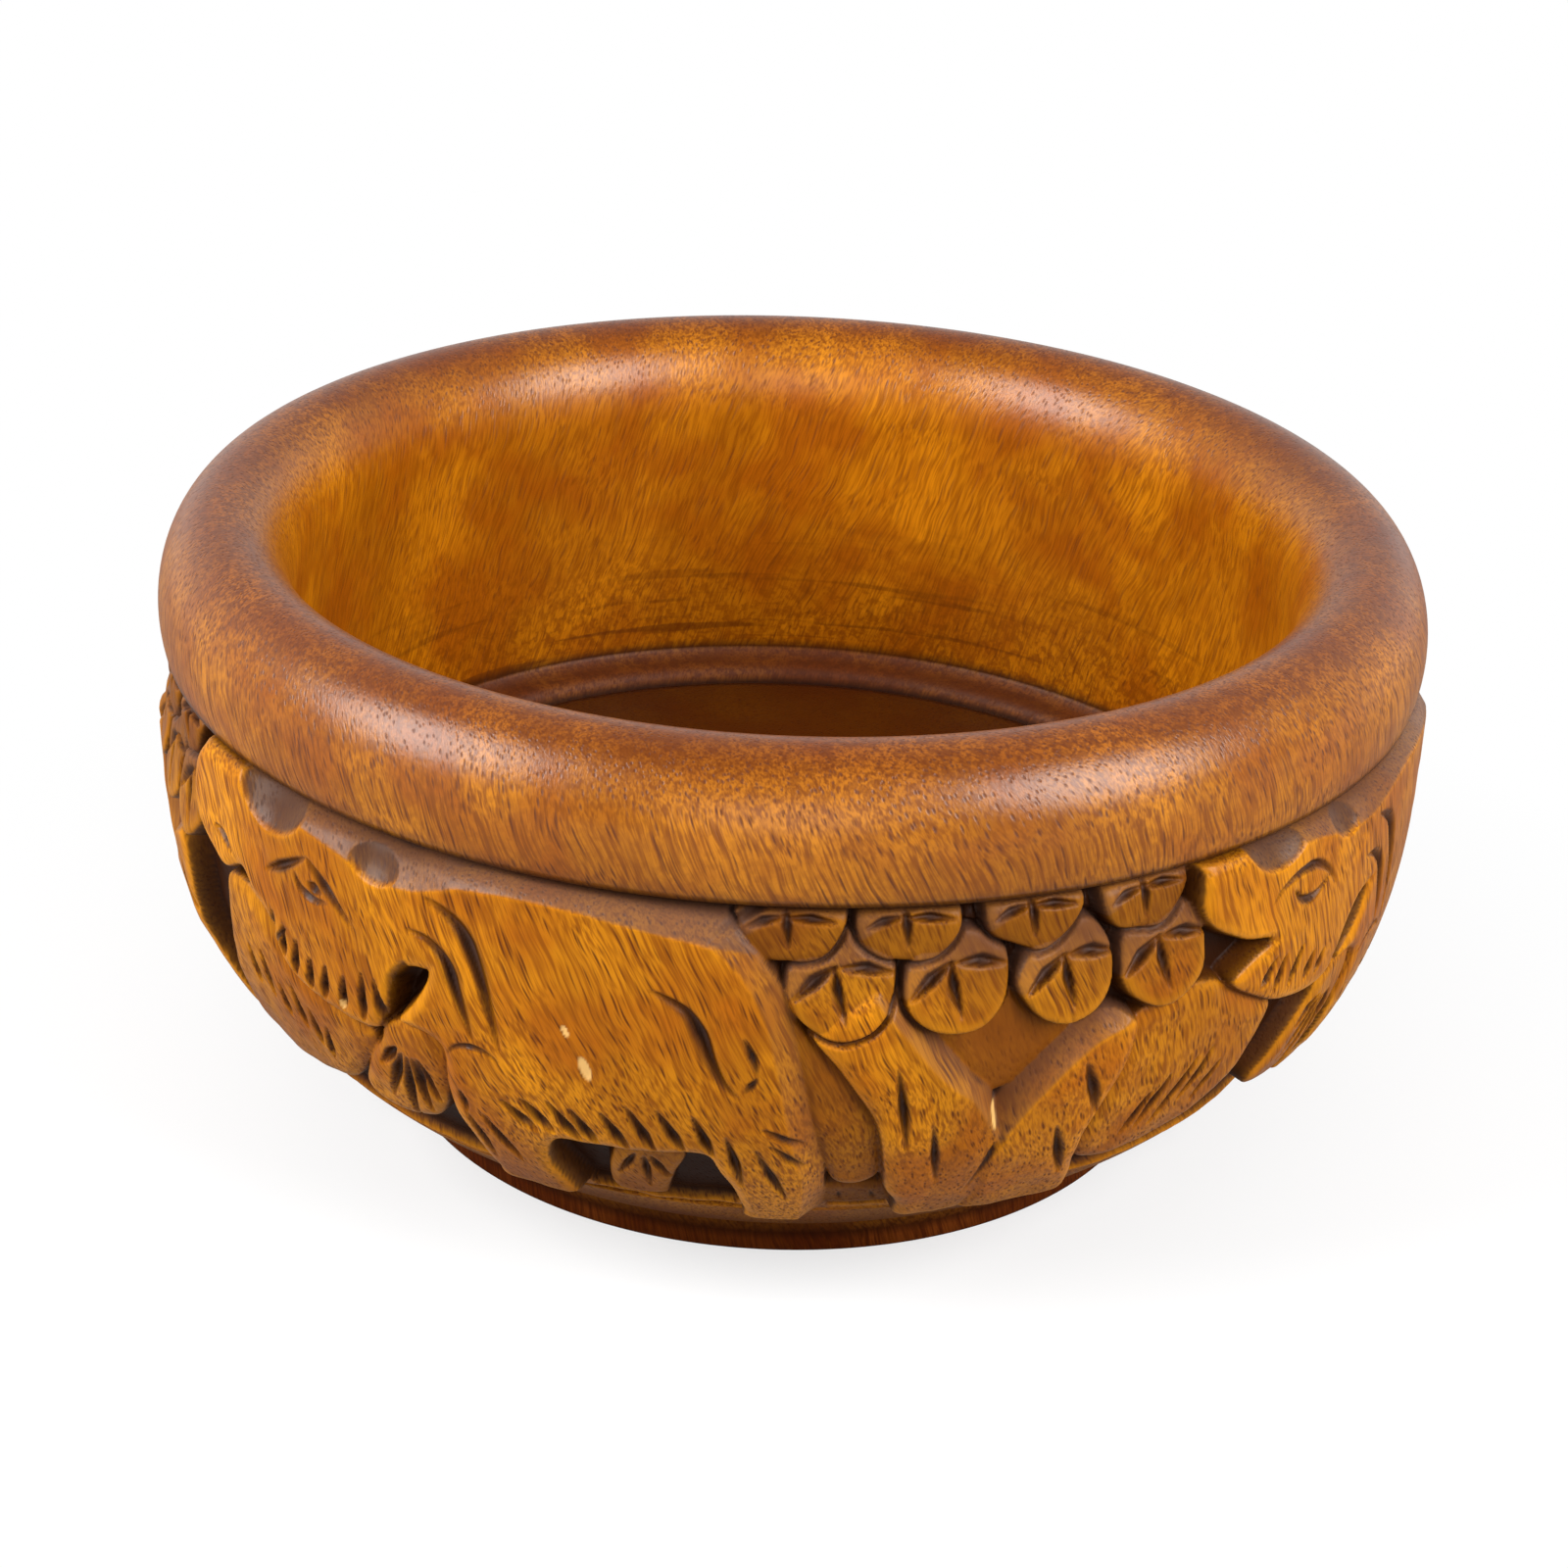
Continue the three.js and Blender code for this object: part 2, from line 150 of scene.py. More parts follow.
class WoodColours(bpy.types.PropertyGroup):
    amber: bpy.props.FloatVectorProperty(
        name="Amber", description="Light wood of the inner wall",
        subtype="COLOR", default=linear("#b86b08"),
    )
    honey: bpy.props.FloatVectorProperty(
        name="Honey", description="Middle tone of the carved band",
        subtype="COLOR", default=linear("#c4780e"),
    )
    russet: bpy.props.FloatVectorProperty(
        name="Russet", description="Redder tone of the rolled rim's top",
        subtype="COLOR", default=linear("#88480c"),
    )
    pore: bpy.props.FloatVectorProperty(
        name="Pore", description="Open vessels filled with old finish",
        subtype="COLOR", default=linear("#562604"),
    )
    # Also stands for painted shade on cut walls, in deep holes, on fallen facets and under the roll.
    stain: bpy.props.FloatVectorProperty(
        name="Stain", description="Dark stain and old wax in the cuts",
        subtype="COLOR", default=linear("#240e05"),
    )
    # Also stands for painted shade in recesses and on sunk forms.
    hollow: bpy.props.FloatVectorProperty(
        name="Hollow", description="Browner wood of the cleared ground",
        subtype="COLOR", default=linear("#723d0e"),
    )
    bare: bpy.props.FloatVectorProperty(
        name="Bare wood", description="Pale wood where the finish is chipped",
        subtype="COLOR", default=linear("#e8b66c"),
    )
    # Also stands for painted reflection of the bright room on up-facing bevels and cut bottoms.
    wax: bpy.props.FloatVectorProperty(
        name="Old wax", description="Greyish wax at the bottom of the cuts",
        subtype="COLOR", default=linear("#665048"),
    )
    foot: bpy.props.FloatVectorProperty(
        name="Foot", description="Dark red-brown of the foot",
        subtype="COLOR", default=linear("#5c290b"),
    )
    floor: bpy.props.FloatVectorProperty(
        name="Floor", description="Dark floor disc", subtype="COLOR", default=linear("#3e1805")
    )


class StudioSettings(bpy.types.PropertyGroup):
    distance: bpy.props.FloatProperty(
        name="Camera distance", description="Camera to the middle of the rim",
        default=0.715, unit="LENGTH",
    )
    elevation: bpy.props.FloatProperty(
        name="Camera elevation", description="Above the rim's plane", default=math.radians(22.684),
        subtype="ANGLE",
    )
    roll: bpy.props.FloatProperty(
        name="Camera roll", description="Tilt of the camera about its view",
        default=math.radians(2.3716), subtype="ANGLE",
    )
    lens: bpy.props.FloatProperty(name="Lens", description="Focal length in millimetres", default=78.97)


# The turned shape.
SHOULDER_POWER = 2.5
BELLY_POWER = 3.24
EASED_SHOULDER = 0.35  # the carver cuts straight in under the rim, not square to the shoulder
PROFILE_STEPS = 600


class Turning:
    """Radii and heights of the turned form, worked out from the sizes."""

    def __init__(self, sizes):
        self.half_width = sizes.roll_width / 2
        self.half_height = sizes.roll_height / 2
        self.roll_radius = sizes.rim_radius - self.half_width
        self.roll_z = sizes.height - self.half_height
        self.groove_angle = sizes.groove_angle
        self.groove_radius = self.roll_radius + self.half_width * math.cos(sizes.groove_angle)
        self.groove_z = self.roll_z - self.half_height * math.sin(sizes.groove_angle)
        self.band_radius = sizes.rim_radius + sizes.band_proud
        self.shoulder_drop = sizes.shoulder_drop
        self.shoulder_z = self.groove_z - sizes.shoulder_drop
        self.foot_radius = sizes.foot_radius
        self.foot_z = sizes.foot_height
        self.belly_end_radius = sizes.foot_radius + sizes.foot_step
        self.mouth_radius = sizes.rim_radius - sizes.roll_width
        self.wall_radius = self.mouth_radius + sizes.wall_flare
        self.floor_z = sizes.base_thickness
        self.ledge_rise = sizes.ledge_rise
        self.recess_radius = self.wall_radius - sizes.ledge_width + sizes.fit_gap
        self.recess_z = sizes.base_thickness - sizes.disc_thickness
        self.disc_radius = self.recess_radius - sizes.fit_gap
        self.disc_z = self.recess_z + sizes.fit_gap
        z = np.linspace(self.groove_z, self.foot_z, PROFILE_STEPS)
        r = self.outside_radius(z)
        steps = np.hypot(np.diff(r), np.diff(z))
        self.falls = np.concatenate([[0.0], np.cumsum(steps)])
        self.line_r, self.line_z = r, z
        slope = np.gradient(r, self.falls)
        self.line_dr = np.where(slope > 0, EASED_SHOULDER * slope, slope)
        self.line_dz = -np.sqrt(1 - self.line_dr**2)

    def outside_radius(self, z):
        """The outside from the groove to the foot, before it is carved."""
        up = np.clip((z - self.shoulder_z) / self.shoulder_drop, 0, 1)
        down = np.clip((self.shoulder_z - z) / (self.shoulder_z - self.foot_z), 0, 1)
        over = (self.band_radius - self.groove_radius) * up**SHOULDER_POWER
        under = (self.band_radius - self.belly_end_radius) * down**BELLY_POWER
        return self.band_radius - over - under

    def sunk(self, fall, depth):
        """Radius and height of a point at a fall along the outside, sunk square to it."""
        r, z = np.interp(fall, self.falls, self.line_r), np.interp(fall, self.falls, self.line_z)
        dr, dz = np.interp(fall, self.falls, self.line_dr), np.interp(fall, self.falls, self.line_dz)
        return r + depth * dz, z - depth * dr

    def roll_point(self, angle):
        """Radius and height on the roll's oval, at an angle up from its outermost point."""
        return (
            self.roll_radius + self.half_width * math.cos(angle),
            self.roll_z + self.half_height * math.sin(angle),
        )


# The carving. Places are degrees round the bowl, from its front, and millimetres below the groove.
CURVE_STEPS = 6  # points from one drawn point to the next


def smooth(points, closed):
    """A curve through a few drawn points."""
    p = np.array(points, float)
    if closed:
        p = np.vstack([p[-1], p, p[0], p[1]])
    else:
        p = np.vstack([2 * p[0] - p[1], p, 2 * p[-1] - p[-2]])
    t = np.linspace(0, 1, CURVE_STEPS, endpoint=False)[:, None]
    spans = []
    for a, b, c, d in zip(p[:-3], p[1:-2], p[2:-1], p[3:], strict=True):
        bend, twist = 2 * a - 5 * b + 4 * c - d, 3 * b - a - 3 * c + d
        spans.append(0.5 * (2 * b + (c - a) * t + bend * t**2 + twist * t**3))
    if not closed:
        spans.append(p[-2:-1])
    return np.vstack(spans)


def ramp(value, low, high):
    """0 below the low value and 1 above the high one, with a smooth rise between them."""
    t = np.clip((value - low) / (high - low), 0, 1)
    return t * t * (3 - 2 * t)


WALL_REACH = 3.0  # mm worked out round a form, for its walls
OUTLINE_OUTSIDE = 0.3  # mm from a form's edge to the fine cut round it
OUTLINE_HALF = 0.8  # mm, half the width of that cut
CHIP_DEPTH = 0.3
FINEST_CUT = 0.05  # mm, the half width at the ends of a cut


class Relief:
    """The carved band laid flat.

    Its sheets hold the depth below the turned surface in millimetres, and how much dark stain with painted
    shade, old wax with painted reflection, and bare wood show there.
    """

    def __init__(self, columns, rows, length, ground, mm_per_degree):
        self.columns, self.mm_per_degree = columns, mm_per_degree
        self.step = 360 / columns
        self.falls = np.linspace(0, length, rows)
        self.depth = np.full((rows, columns), float(ground))
        self.stain = np.zeros((rows, columns))
        self.wax = np.zeros((rows, columns))
        self.bare = np.zeros((rows, columns))

    def window(self, points, margin):
        """Where the sheet is near some points, and its plane coordinates in millimetres there."""
        p = np.asarray(points)
        side = margin / self.mm_per_degree
        first = math.floor((p[:, 0].min() - side) / self.step)
        last = math.ceil((p[:, 0].max() + side) / self.step)
        columns = np.arange(first, last + 1)
        top, bottom = p[:, 1].min() - margin, p[:, 1].max() + margin
        rows = np.flatnonzero((self.falls >= top) & (self.falls <= bottom))
        x, y = np.meshgrid(columns * self.step * self.mm_per_degree, self.falls[rows])
        return np.ix_(rows, columns % self.columns), x, y

    def flat(self, points):
        """Points in plane coordinates, in millimetres."""
        return np.asarray(points, float) * [self.mm_per_degree, 1.0]

    def raise_form(
        self, points, depth, edge, drop, wall=4.0, tilt=(0, 0), chamfers=(), outline=0.0, stain=0.0
    ):
        """A raised form: its top at a depth, rounded off over its edge by a drop, with steep walls.

        A chamfer is a crest line, a slope and how much old wax and painted reflection grey it: left of the
        line, as it is drawn, the form falls away, and its fallen face is darkened with painted shade. An
        outline is the depth of a fine cut round the form, and a stain darkens the whole form, partly as
        painted shade.
        """
        loop = smooth(points, True)
        where, x, y = self.window(loop, WALL_REACH)
        if not x.size:
            return
        inside = inside_distance(x, y, self.flat(loop))
        middle = self.flat(loop).mean(0)
        top = depth + tilt[0] * (x - middle[0]) + tilt[1] * (y - middle[1])
        round_off = drop * (1 - np.clip(inside / edge, 0, 1)) ** 2
        face = np.where(inside > 0, top + round_off, top + drop - wall * inside)
        wax, dark = np.zeros(x.shape), np.full(x.shape, float(stain))
        for line, slope, wax_and_sheen_amount in chamfers:
            away, _, side = path_distance(x, y, self.flat(smooth(line, False)))
            face = np.maximum(face, slope * np.where(side > 0, away, 0))
            # The fallen face gets painted shade, and old wax with painted reflection of the bright room.
            fallen = np.where(side > 0, ramp(away, 0.1, 0.8), 0)
            wax, dark = np.maximum(wax, wax_and_sheen_amount * fallen), np.maximum(dark, (0.15 + 0.6 * wax_and_sheen_amount) * fallen)
        on_top = face < self.depth[where]
        groove = np.clip(1 - np.abs(inside + OUTLINE_OUTSIDE) / OUTLINE_HALF, 0, 1) if outline else 0.0
        self.depth[where] = np.where(on_top, face, self.depth[where]) + outline * groove
        self.stain[where] = np.maximum(np.where(on_top, dark, self.stain[where]), groove)
        self.wax[where] = np.where(on_top, wax, self.wax[where])

    def cut(self, points, width, depth, taper=0.5, lean=0.0):
        """A V-shaped knife cut, widest at the taper's share of its length, leaning to one side."""
        path = smooth(points, False)
        where, x, y = self.window(path, width + 1)
        if not x.size:
            return
        away, along, side = path_distance(x, y, self.flat(path))
        rise = np.clip(along / max(taper, 0.02), 0, 1)
        fall = np.clip((1 - along) / max(1 - taper, 0.02), 0, 1)
        swell = np.sqrt(np.minimum(rise, fall))
        half = np.maximum(width / 2 * swell * (1 + lean * side), FINEST_CUT)
        v = swell * np.clip(1 - away / half, 0, 1)
        self.depth[where] += depth * v
        dark = swell * np.clip(1.9 - 1.5 * away / half, 0, 1)
        self.stain[where] = np.maximum(self.stain[where], dark)
        # Old wax with painted reflection of the bright room at the bottom of the cut.
        self.wax[where] = np.maximum(self.wax[where], 0.5 * ramp(v, 0.6, 0.9))

    def gouge(self, middle, radii, depth):
        """A round scoop made with one push of a gouge."""
        where, x, y = self.window([middle], max(radii[0] * self.mm_per_degree, radii[1]))
        if not x.size:
            return
        cx, cy = middle[0] * self.mm_per_degree, middle[1]
        q = 1 - ((x - cx) / (radii[0] * self.mm_per_degree)) ** 2 - ((y - cy) / radii[1]) ** 2
        scoop = depth * np.clip(q, 0, 1) ** SCOOP_POWER
        deeper = scoop > self.depth[where]
        self.depth[where] = np.where(deeper, scoop, self.depth[where])
        # The scoop's inside: stain with painted shade, and old wax with painted reflection.
        within = ramp(q, 0.02, 0.2)
        self.wax[where] = np.where(deeper, 0.4 * within, self.wax[where])
        self.stain[where] = np.where(deeper, 0.8 * within, self.stain[where])

    def chip(self, middle, radii):
        """A shallow chip that shows the pale wood under the finish."""
        where, x, y = self.window([middle], max(radii))
        across, down = (x - middle[0] * self.mm_per_degree) / radii[0], (y - middle[1]) / radii[1]
        inside = ramp(1 - (across - 0.6 * down) ** 2 - down**2, 0.0, 0.5)
        self.depth[where] += CHIP_DEPTH * inside
        self.bare[where] = np.maximum(self.bare[where], inside)

    def blurred(self, sheet, size):
        """A sheet smoothed over a distance in millimetres."""
        both = np.vstack([sheet, sheet[::-1]])
        across = np.fft.fftfreq(both.shape[1], self.step * self.mm_per_degree)
        down = np.fft.fftfreq(both.shape[0], self.falls[1] - self.falls[0])
        keep = np.exp(-2 * (math.pi * size) ** 2 * (across[None, :] ** 2 + down[:, None] ** 2))
        return np.fft.ifft2(np.fft.fft2(both) * keep).real[: sheet.shape[0]]


def inside_distance(x, y, loop):
    """Distance to a closed outline, positive inside it."""
    best = np.full(x.shape, np.inf)
    inside = np.zeros(x.shape, bool)
    for (ax, ay), (bx, by) in zip(loop, np.roll(loop, -1, 0), strict=True):
        ux, uy = bx - ax, by - ay
        t = np.clip(((x - ax) * ux + (y - ay) * uy) / (ux * ux + uy * uy + 1e-12), 0, 1)
        best = np.minimum(best, (x - ax - t * ux) ** 2 + (y - ay - t * uy) ** 2)
        if ay != by:
            crosses = ((ay > y) != (by > y)) & (x < ax + (y - ay) * ux / uy)
            inside ^= crosses
    return np.where(inside, 1, -1) * np.sqrt(best)


def path_distance(x, y, path):
    """Distance to an open path, the share of its length at the nearest place, and which side."""
    lengths = np.hypot(*np.diff(path, axis=0).T)
    total = lengths.sum()
    start = 0.0
    best = np.full(x.shape, np.inf)
    along, side = np.zeros(x.shape), np.ones(x.shape)
    for (ax, ay), (bx, by), length in zip(path[:-1], path[1:], lengths, strict=True):
        ux, uy = bx - ax, by - ay
        t = np.clip(((x - ax) * ux + (y - ay) * uy) / (ux * ux + uy * uy + 1e-12), 0, 1)
        d = (x - ax - t * ux) ** 2 + (y - ay - t * uy) ** 2
        nearer = d < best
        best = np.where(nearer, d, best)
        along = np.where(nearer, (start + t * length) / total, along)
        # The sheet's second axis points down, so this is positive on the left of the path as drawn.
        side = np.where(nearer, np.sign(ux * (ay - y) - uy * (ax - x)), side)
        start += length
    return np.sqrt(best), along, side


def placed(points, at):
    """Points moved round the bowl, to one repeat of the frieze."""
    return [(x + at, y) for x, y in points]


# The animal, drawn once with its rump just right of the front. Two heads are carved in turn.
LONG_HEAD = [
    (-57, -8), (-58.6, 3), (-60.4, 9), (-60.6, 16.5), (-59.3, 21.2), (-57, 24.5), (-54.8, 25.6),
    (-52, 22.8), (-50.3, 26.3), (-48, 29.8), (-47.2, 34.9), (-45.8, 39.3), (-42.5, 42.3),
    (-38.5, 43.7), (-35.5, 43.1), (-34.5, 40.8), (-33.6, 35.9), (-33, 30.9), (-31.3, 26.1),
    (-29.2, 25), (-26, 23.8), (-26, -8),
]
SHORT_HEAD = [
    (-54, -8), (-53.9, 3), (-54.0, 8.7), (-53.4, 12.6), (-51.9, 16), (-49.8, 18.8), (-48.3, 20.5),
    (-45, 23.1), (-47.5, 26.3), (-49.3, 28.8), (-48.5, 31.4), (-46, 34.9), (-43.5, 37.9),
    (-40.5, 39.8), (-37, 40.8), (-34.5, 39.8), (-33.6, 35.9), (-33, 30.9), (-31.3, 26.1),
    (-29.2, 25), (-26, 23.8), (-26, -8),
]
TORSO = [
    (-31, -8), (-31, 12), (-29.5, 18), (-29.2, 25.3), (-29.9, 29.8), (-31.2, 34.4), (-32.6, 38.8),
    (-30, 39.3), (-28.3, 42.8), (-28.6, 52.3), (-28.3, 58.7), (-27.5, 64.8), (-27, 70.6),
    (-26.6, 76), (-26.4, 84), (-18.6, 84), (-18.6, 77.8), (-19.2, 73.1), (-19.9, 67.3),
    (-19.5, 61.8), (-18.3, 58.4), (-16, 58), (-12.5, 57.8), (-9, 56.9), (-6.8, 56.3), (-5.2, 57.1),
    (-4.3, 61.3), (-3.2, 67.3), (-2.6, 73.1), (-2.2, 77), (-2, 84), (5, 84), (5, 77), (4.9, 71.5),
    (4.6, 64), (4.2, 56.9), (3.4, 49.5), (2.7, 41.8), (2.1, 33.9), (1.6, 25.8), (0.2, 17.6),
    (-1.6, 11.5), (-2.9, 8.2), (-4.6, 3), (-6.5, -8),
]
FRONT_PAW = [
    (-34.7, 42.1), (-32, 38.6), (-29.8, 38.1), (-28.6, 40.8), (-28.4, 47.6), (-29, 54.2),
    (-29.8, 59.5), (-31.5, 64.8), (-35, 68.6), (-38.5, 68.2), (-40, 64), (-38.7, 57.8), (-37, 51.3),
    (-35.5, 46.6),
]
LONG_HEAD_LEG = [
    (-56, 28.8), (-53, 27.3), (-50, 29.8), (-47.5, 34.9), (-46, 39.8), (-42, 43.2), (-38, 44.7),
    (-36.3, 46.6), (-37, 51.3), (-38.8, 56.9), (-40.5, 62.2), (-43, 67.3), (-47, 71.5), (-53, 73.8),
    (-58, 72.3), (-60, 65.7), (-59.5, 55.1), (-58, 45.7), (-57, 36.9),
]
SHORT_HEAD_LEG = [
    (-59.3, 30.3), (-55, 27.3), (-51, 27.8), (-49, 31.4), (-46, 35.4), (-43, 38.8), (-42.5, 42.8),
    (-43.5, 50.4), (-45, 57.8), (-47.5, 64), (-51, 68.2), (-56, 70.6), (-60.5, 69), (-61.8, 62.2),
    (-61, 50.4), (-60, 38.8),
]
HIND_PAW = [
    (-13.5, 56.9), (-8, 56), (-7.4, 60.4), (-8.5, 67.3), (-9.3, 73.8), (-10, 78), (-14, 79.2),
    (-15, 76.1), (-14.8, 69), (-14, 62.2),
]
BACK_LINE = [
    (-34, 12), (-31, 10.5), (-28.5, 8.5), (-26, 6.3), (-21, 5.2), (-16, 5.6), (-11, 7), (-7, 8.3),
    (-4.5, 9.5), (-2, 11), (2, 14),
]
RUMP_LINE = [
    (-7, 6), (-4.6, 10.5), (-2.8, 15), (-1.2, 22), (-0.3, 30), (0.4, 38), (1, 46), (1.7, 54),
    (2.5, 62), (2.8, 70), (2.6, 84),
]
BROW_LINE = [(-53, -1), (-51, 3), (-48, 5.2), (-43, 6), (-38.5, 7.6), (-35, 9.6), (-31, 9.8), (-26, 6.3)]
SHORT_BROW_LINE = [(-50, -1), (-48, 2.5), (-44, 4.5), (-40, 5.6), (-36, 7.5), (-31, 8.6), (-26, 6.3)]
BACK_SLOPE = 0.7
RUMP_SLOPE = 0.6

# Scoops over the brow: the middle, the radii in degrees and millimetres, and the depth.
LONG_HEAD_SCOOPS = (((-46.8, -1), (5.0, 11.5), 4.6), ((-34.3, -1), (4.2, 12.0), 4.6))
SHORT_HEAD_SCOOPS = (((-45.3, -1), (4.2, 9.0), 4.2), ((-35.0, -1), (3.6, 10.0), 4.2))
SCOOP_POWER = 0.7

# Knife cuts: the path, its width and its depth in millimetres, and then, where these aren't plain, the
# share of the length at which the cut is widest, and its lean. A fringe is a row of straight cuts, for
# the rough coat.
LONG_HEAD_CUTS = (
    ([(-47.6, 19), (-44.5, 15), (-41.9, 11.3)], 2.8, 1.6, 0.4),
    ([(-42.1, 11.2), (-40.5, 14.1), (-38.8, 17.4), (-36.7, 22)], 2.8, 1.7, 0.4),
    ([(-43.5, 15.2), (-43, 17.8), (-41.4, 19.5), (-39.4, 18.9)], 2.3, 1.3),
    ([(-42, 16.4), (-40.1, 17.6)], 3.0, 1.3),
    ([(-56.2, 17.6), (-54.6, 18.4), (-53, 20.8)], 2.6, 1.5),
    ([(-45, 29.2), (-46.3, 31.9), (-47.3, 35.9)], 1.2, 0.7),
)
JAW_FRINGE = [
    ((-46.9, 26.8), (-47.4, 33)), ((-45.6, 28.6), (-46, 36.8)), ((-44, 30.5), (-44.6, 39.4)),
    ((-42.3, 32.9), (-42.7, 40.8)), ((-40.3, 32.7), (-41, 41.4)), ((-38.2, 32.9), (-38.7, 41.8)),
    ((-36, 30.4), (-36.4, 42.2)), ((-34.7, 30.4), (-34.2, 40.8)),
]
LONG_LEG_FRINGE = [
    ((-53.5, 41.8), (-52.8, 51.3)), ((-51.3, 40.8), (-50.6, 52.3)), ((-49, 46.6), (-48.6, 55.1)),
    ((-47, 44.7), (-46.3, 56)), ((-45, 48.5), (-44.6, 58.7)), ((-43, 51.3), (-43.8, 61.3)),
]
LONG_HEAD_FRINGES = ((JAW_FRINGE, 2.5, 2.0, 0.65), (LONG_LEG_FRINGE, 2.4, 1.7, 0.65))
SHORT_HEAD_CUTS = (
    ([(-46, 14.7), (-44.8, 12.1), (-42.6, 10.3), (-40.2, 10.5), (-38.2, 13.2), (-36.7, 17.4)], 2.4, 1.5),
    ([(-43.2, 13.5), (-41.9, 16.5), (-40.3, 17.2), (-38.1, 14.6)], 2.4, 1.5),
)
SHORT_JAW_FRINGE = [
    ((-44.3, 27), (-45.8, 33.3)), ((-42.9, 27.4), (-44, 35.1)), ((-40.5, 27), (-42, 35.7)),
    ((-38.6, 30.2), (-39.5, 36.5)), ((-36.9, 31.3), (-37.8, 36.5)),
]
SHORT_LEG_FRINGE = [
    ((-55.6, 50.4), (-57.6, 62.2)), ((-54, 46.6), (-56.2, 61.3)), ((-51.2, 44.7), (-54.6, 61.3)),
    ((-49.5, 43.7), (-52, 56.9)), ((-48, 48.5), (-50, 58.7)),
]
SHORT_HEAD_FRINGES = ((SHORT_JAW_FRINGE, 2.2, 1.6, 0.65), (SHORT_LEG_FRINGE, 2.0, 1.4, 0.5))
# Wide hollows behind the jaw and over the rump, cut together with the raised forms.
WIDE_CUTS = (
    ([(-31.4, 24.5), (-32.1, 29.5), (-33.2, 35)], 5.0, 1.6),
    ([(-1.2, -1), (-3, 3.5), (-5.6, 8.6)], 4.2, 1.6, 0.1),
)
NECK_CUTS = (
    ([(-29.3, 9.6), (-26.8, 12.5), (-25.4, 16.5), (-24.3, 22.8), (-23.5, 29.8), (-22.6, 38.4)],
     3.8, 2.0, 0.35, 0.3),
    ([(-31.2, 17.2), (-28.9, 18.6), (-27.4, 21.8), (-26.6, 26.8), (-25.8, 31.9), (-25, 37.3)],
     3.2, 1.9, 0.5, 0.3),
    ([(-27.9, 42.6), (-26.9, 40), (-25.2, 38.8), (-23.8, 39.4), (-22.7, 41)], 1.6, 0.9),
)
FORELEG_CUTS = (
    ([(-25.4, 55.5), (-23.9, 62.2), (-22.5, 68.6)], 2.4, 1.6),
    ([(-27, 56.4), (-26, 64), (-25.5, 70.2)], 2.0, 1.4),
    ([(-27.2, 50.4), (-26.9, 54.2), (-26.9, 56.9)], 1.8, 1.2),
)
BELLY_FRINGE = [
    ((-23.2, 50), (-20, 56.5)), ((-21.3, 48.2), (-18.4, 56)), ((-18.9, 47.2), (-16, 57)),
    ((-16.9, 47.8), (-14.6, 57)), ((-14.3, 47), (-11.9, 57)), ((-12, 44.8), (-9.6, 56.6)),
    ((-9.5, 44.4), (-7.1, 56)), ((-6.5, 45.2), (-4.7, 56.5)),
]
HAUNCH_CUTS = (
    ([(-3.8, 49.8), (-2.9, 57.8), (-2.3, 65.2)], 2.6, 1.8),
    ([(-1.4, 52.8), (0.2, 61.3), (1.7, 69.8)], 2.4, 1.6),
    ([(-0.3, 51.3), (1.2, 54.3), (3.2, 59)], 1.9, 1.3),
    ([(-0.9, 47.4), (0.7, 49.3), (3.0, 52.6)], 2.0, 1.4),
)
TAIL_CUTS = (
    ([(-10.1, 18.2), (-8.4, 20), (-6.8, 22.4), (-5.6, 26.8), (-4.8, 32.4), (-3.9, 36.9), (-2.5, 40.8)],
     3.4, 2.0, 0.45, -0.3),
    ([(-2.5, 26.8), (-1.6, 31.4), (-1.3, 34.9)], 2.0, 1.3),
    ([(-1.2, 34.9), (-1.6, 36.5), (-2.3, 38.8)], 1.8, 1.2),
)
# Toes: where they spread from, their angles, where they start and end, their width and their depth.
TOE_FANS = (
    ((-32.2, 42.6), (-40, -24, -10, 4, 16), 5, (14, 22, 27, 21, 17), 3.0, 2.0),
    ((-11.2, 58.5), (-28, 2, 26), 3, (13, 15, 12), 2.2, 1.5),
)
TOE_TAPER = 0.4
# Each kind of animal: the head, the leg under it, the brow's crest, its scoops, cuts and fringes.
LONG_KIND = (
    LONG_HEAD, LONG_HEAD_LEG, BROW_LINE, LONG_HEAD_SCOOPS, LONG_HEAD_CUTS, LONG_HEAD_FRINGES,
)
SHORT_KIND = (
    SHORT_HEAD, SHORT_HEAD_LEG, SHORT_BROW_LINE, SHORT_HEAD_SCOOPS, SHORT_HEAD_CUTS, SHORT_HEAD_FRINGES,
)


def carve_cuts(relief, cuts, drawn):
    """Knife cuts from a table, each put in its place."""
    for path, *knife in cuts:
        relief.cut(drawn(path), *knife)


def carve_fringe(relief, strokes, drawn, *knife):
    """Short knife cuts side by side, for the rough coat."""
    for start, end in strokes:
        half = ((start[0] + end[0]) / 2, (start[1] + end[1]) / 2)
        relief.cut(drawn([start, half, end]), *knife)


def carve_fan(relief, middle, angles, near, far, width, depth):
    """Knife cuts that spread from one point, for toes."""
    for angle, reach in zip(angles, far, strict=True):
        a = math.radians(angle)
        across = math.sin(a) / relief.mm_per_degree
        inner = (middle[0] + near * across, middle[1] + near * math.cos(a))
        outer = (middle[0] + reach * across, middle[1] + reach * math.cos(a))
        half = ((inner[0] + outer[0]) / 2, (inner[1] + outer[1]) / 2)
        relief.cut([inner, half, outer], width, depth, TOE_TAPER)


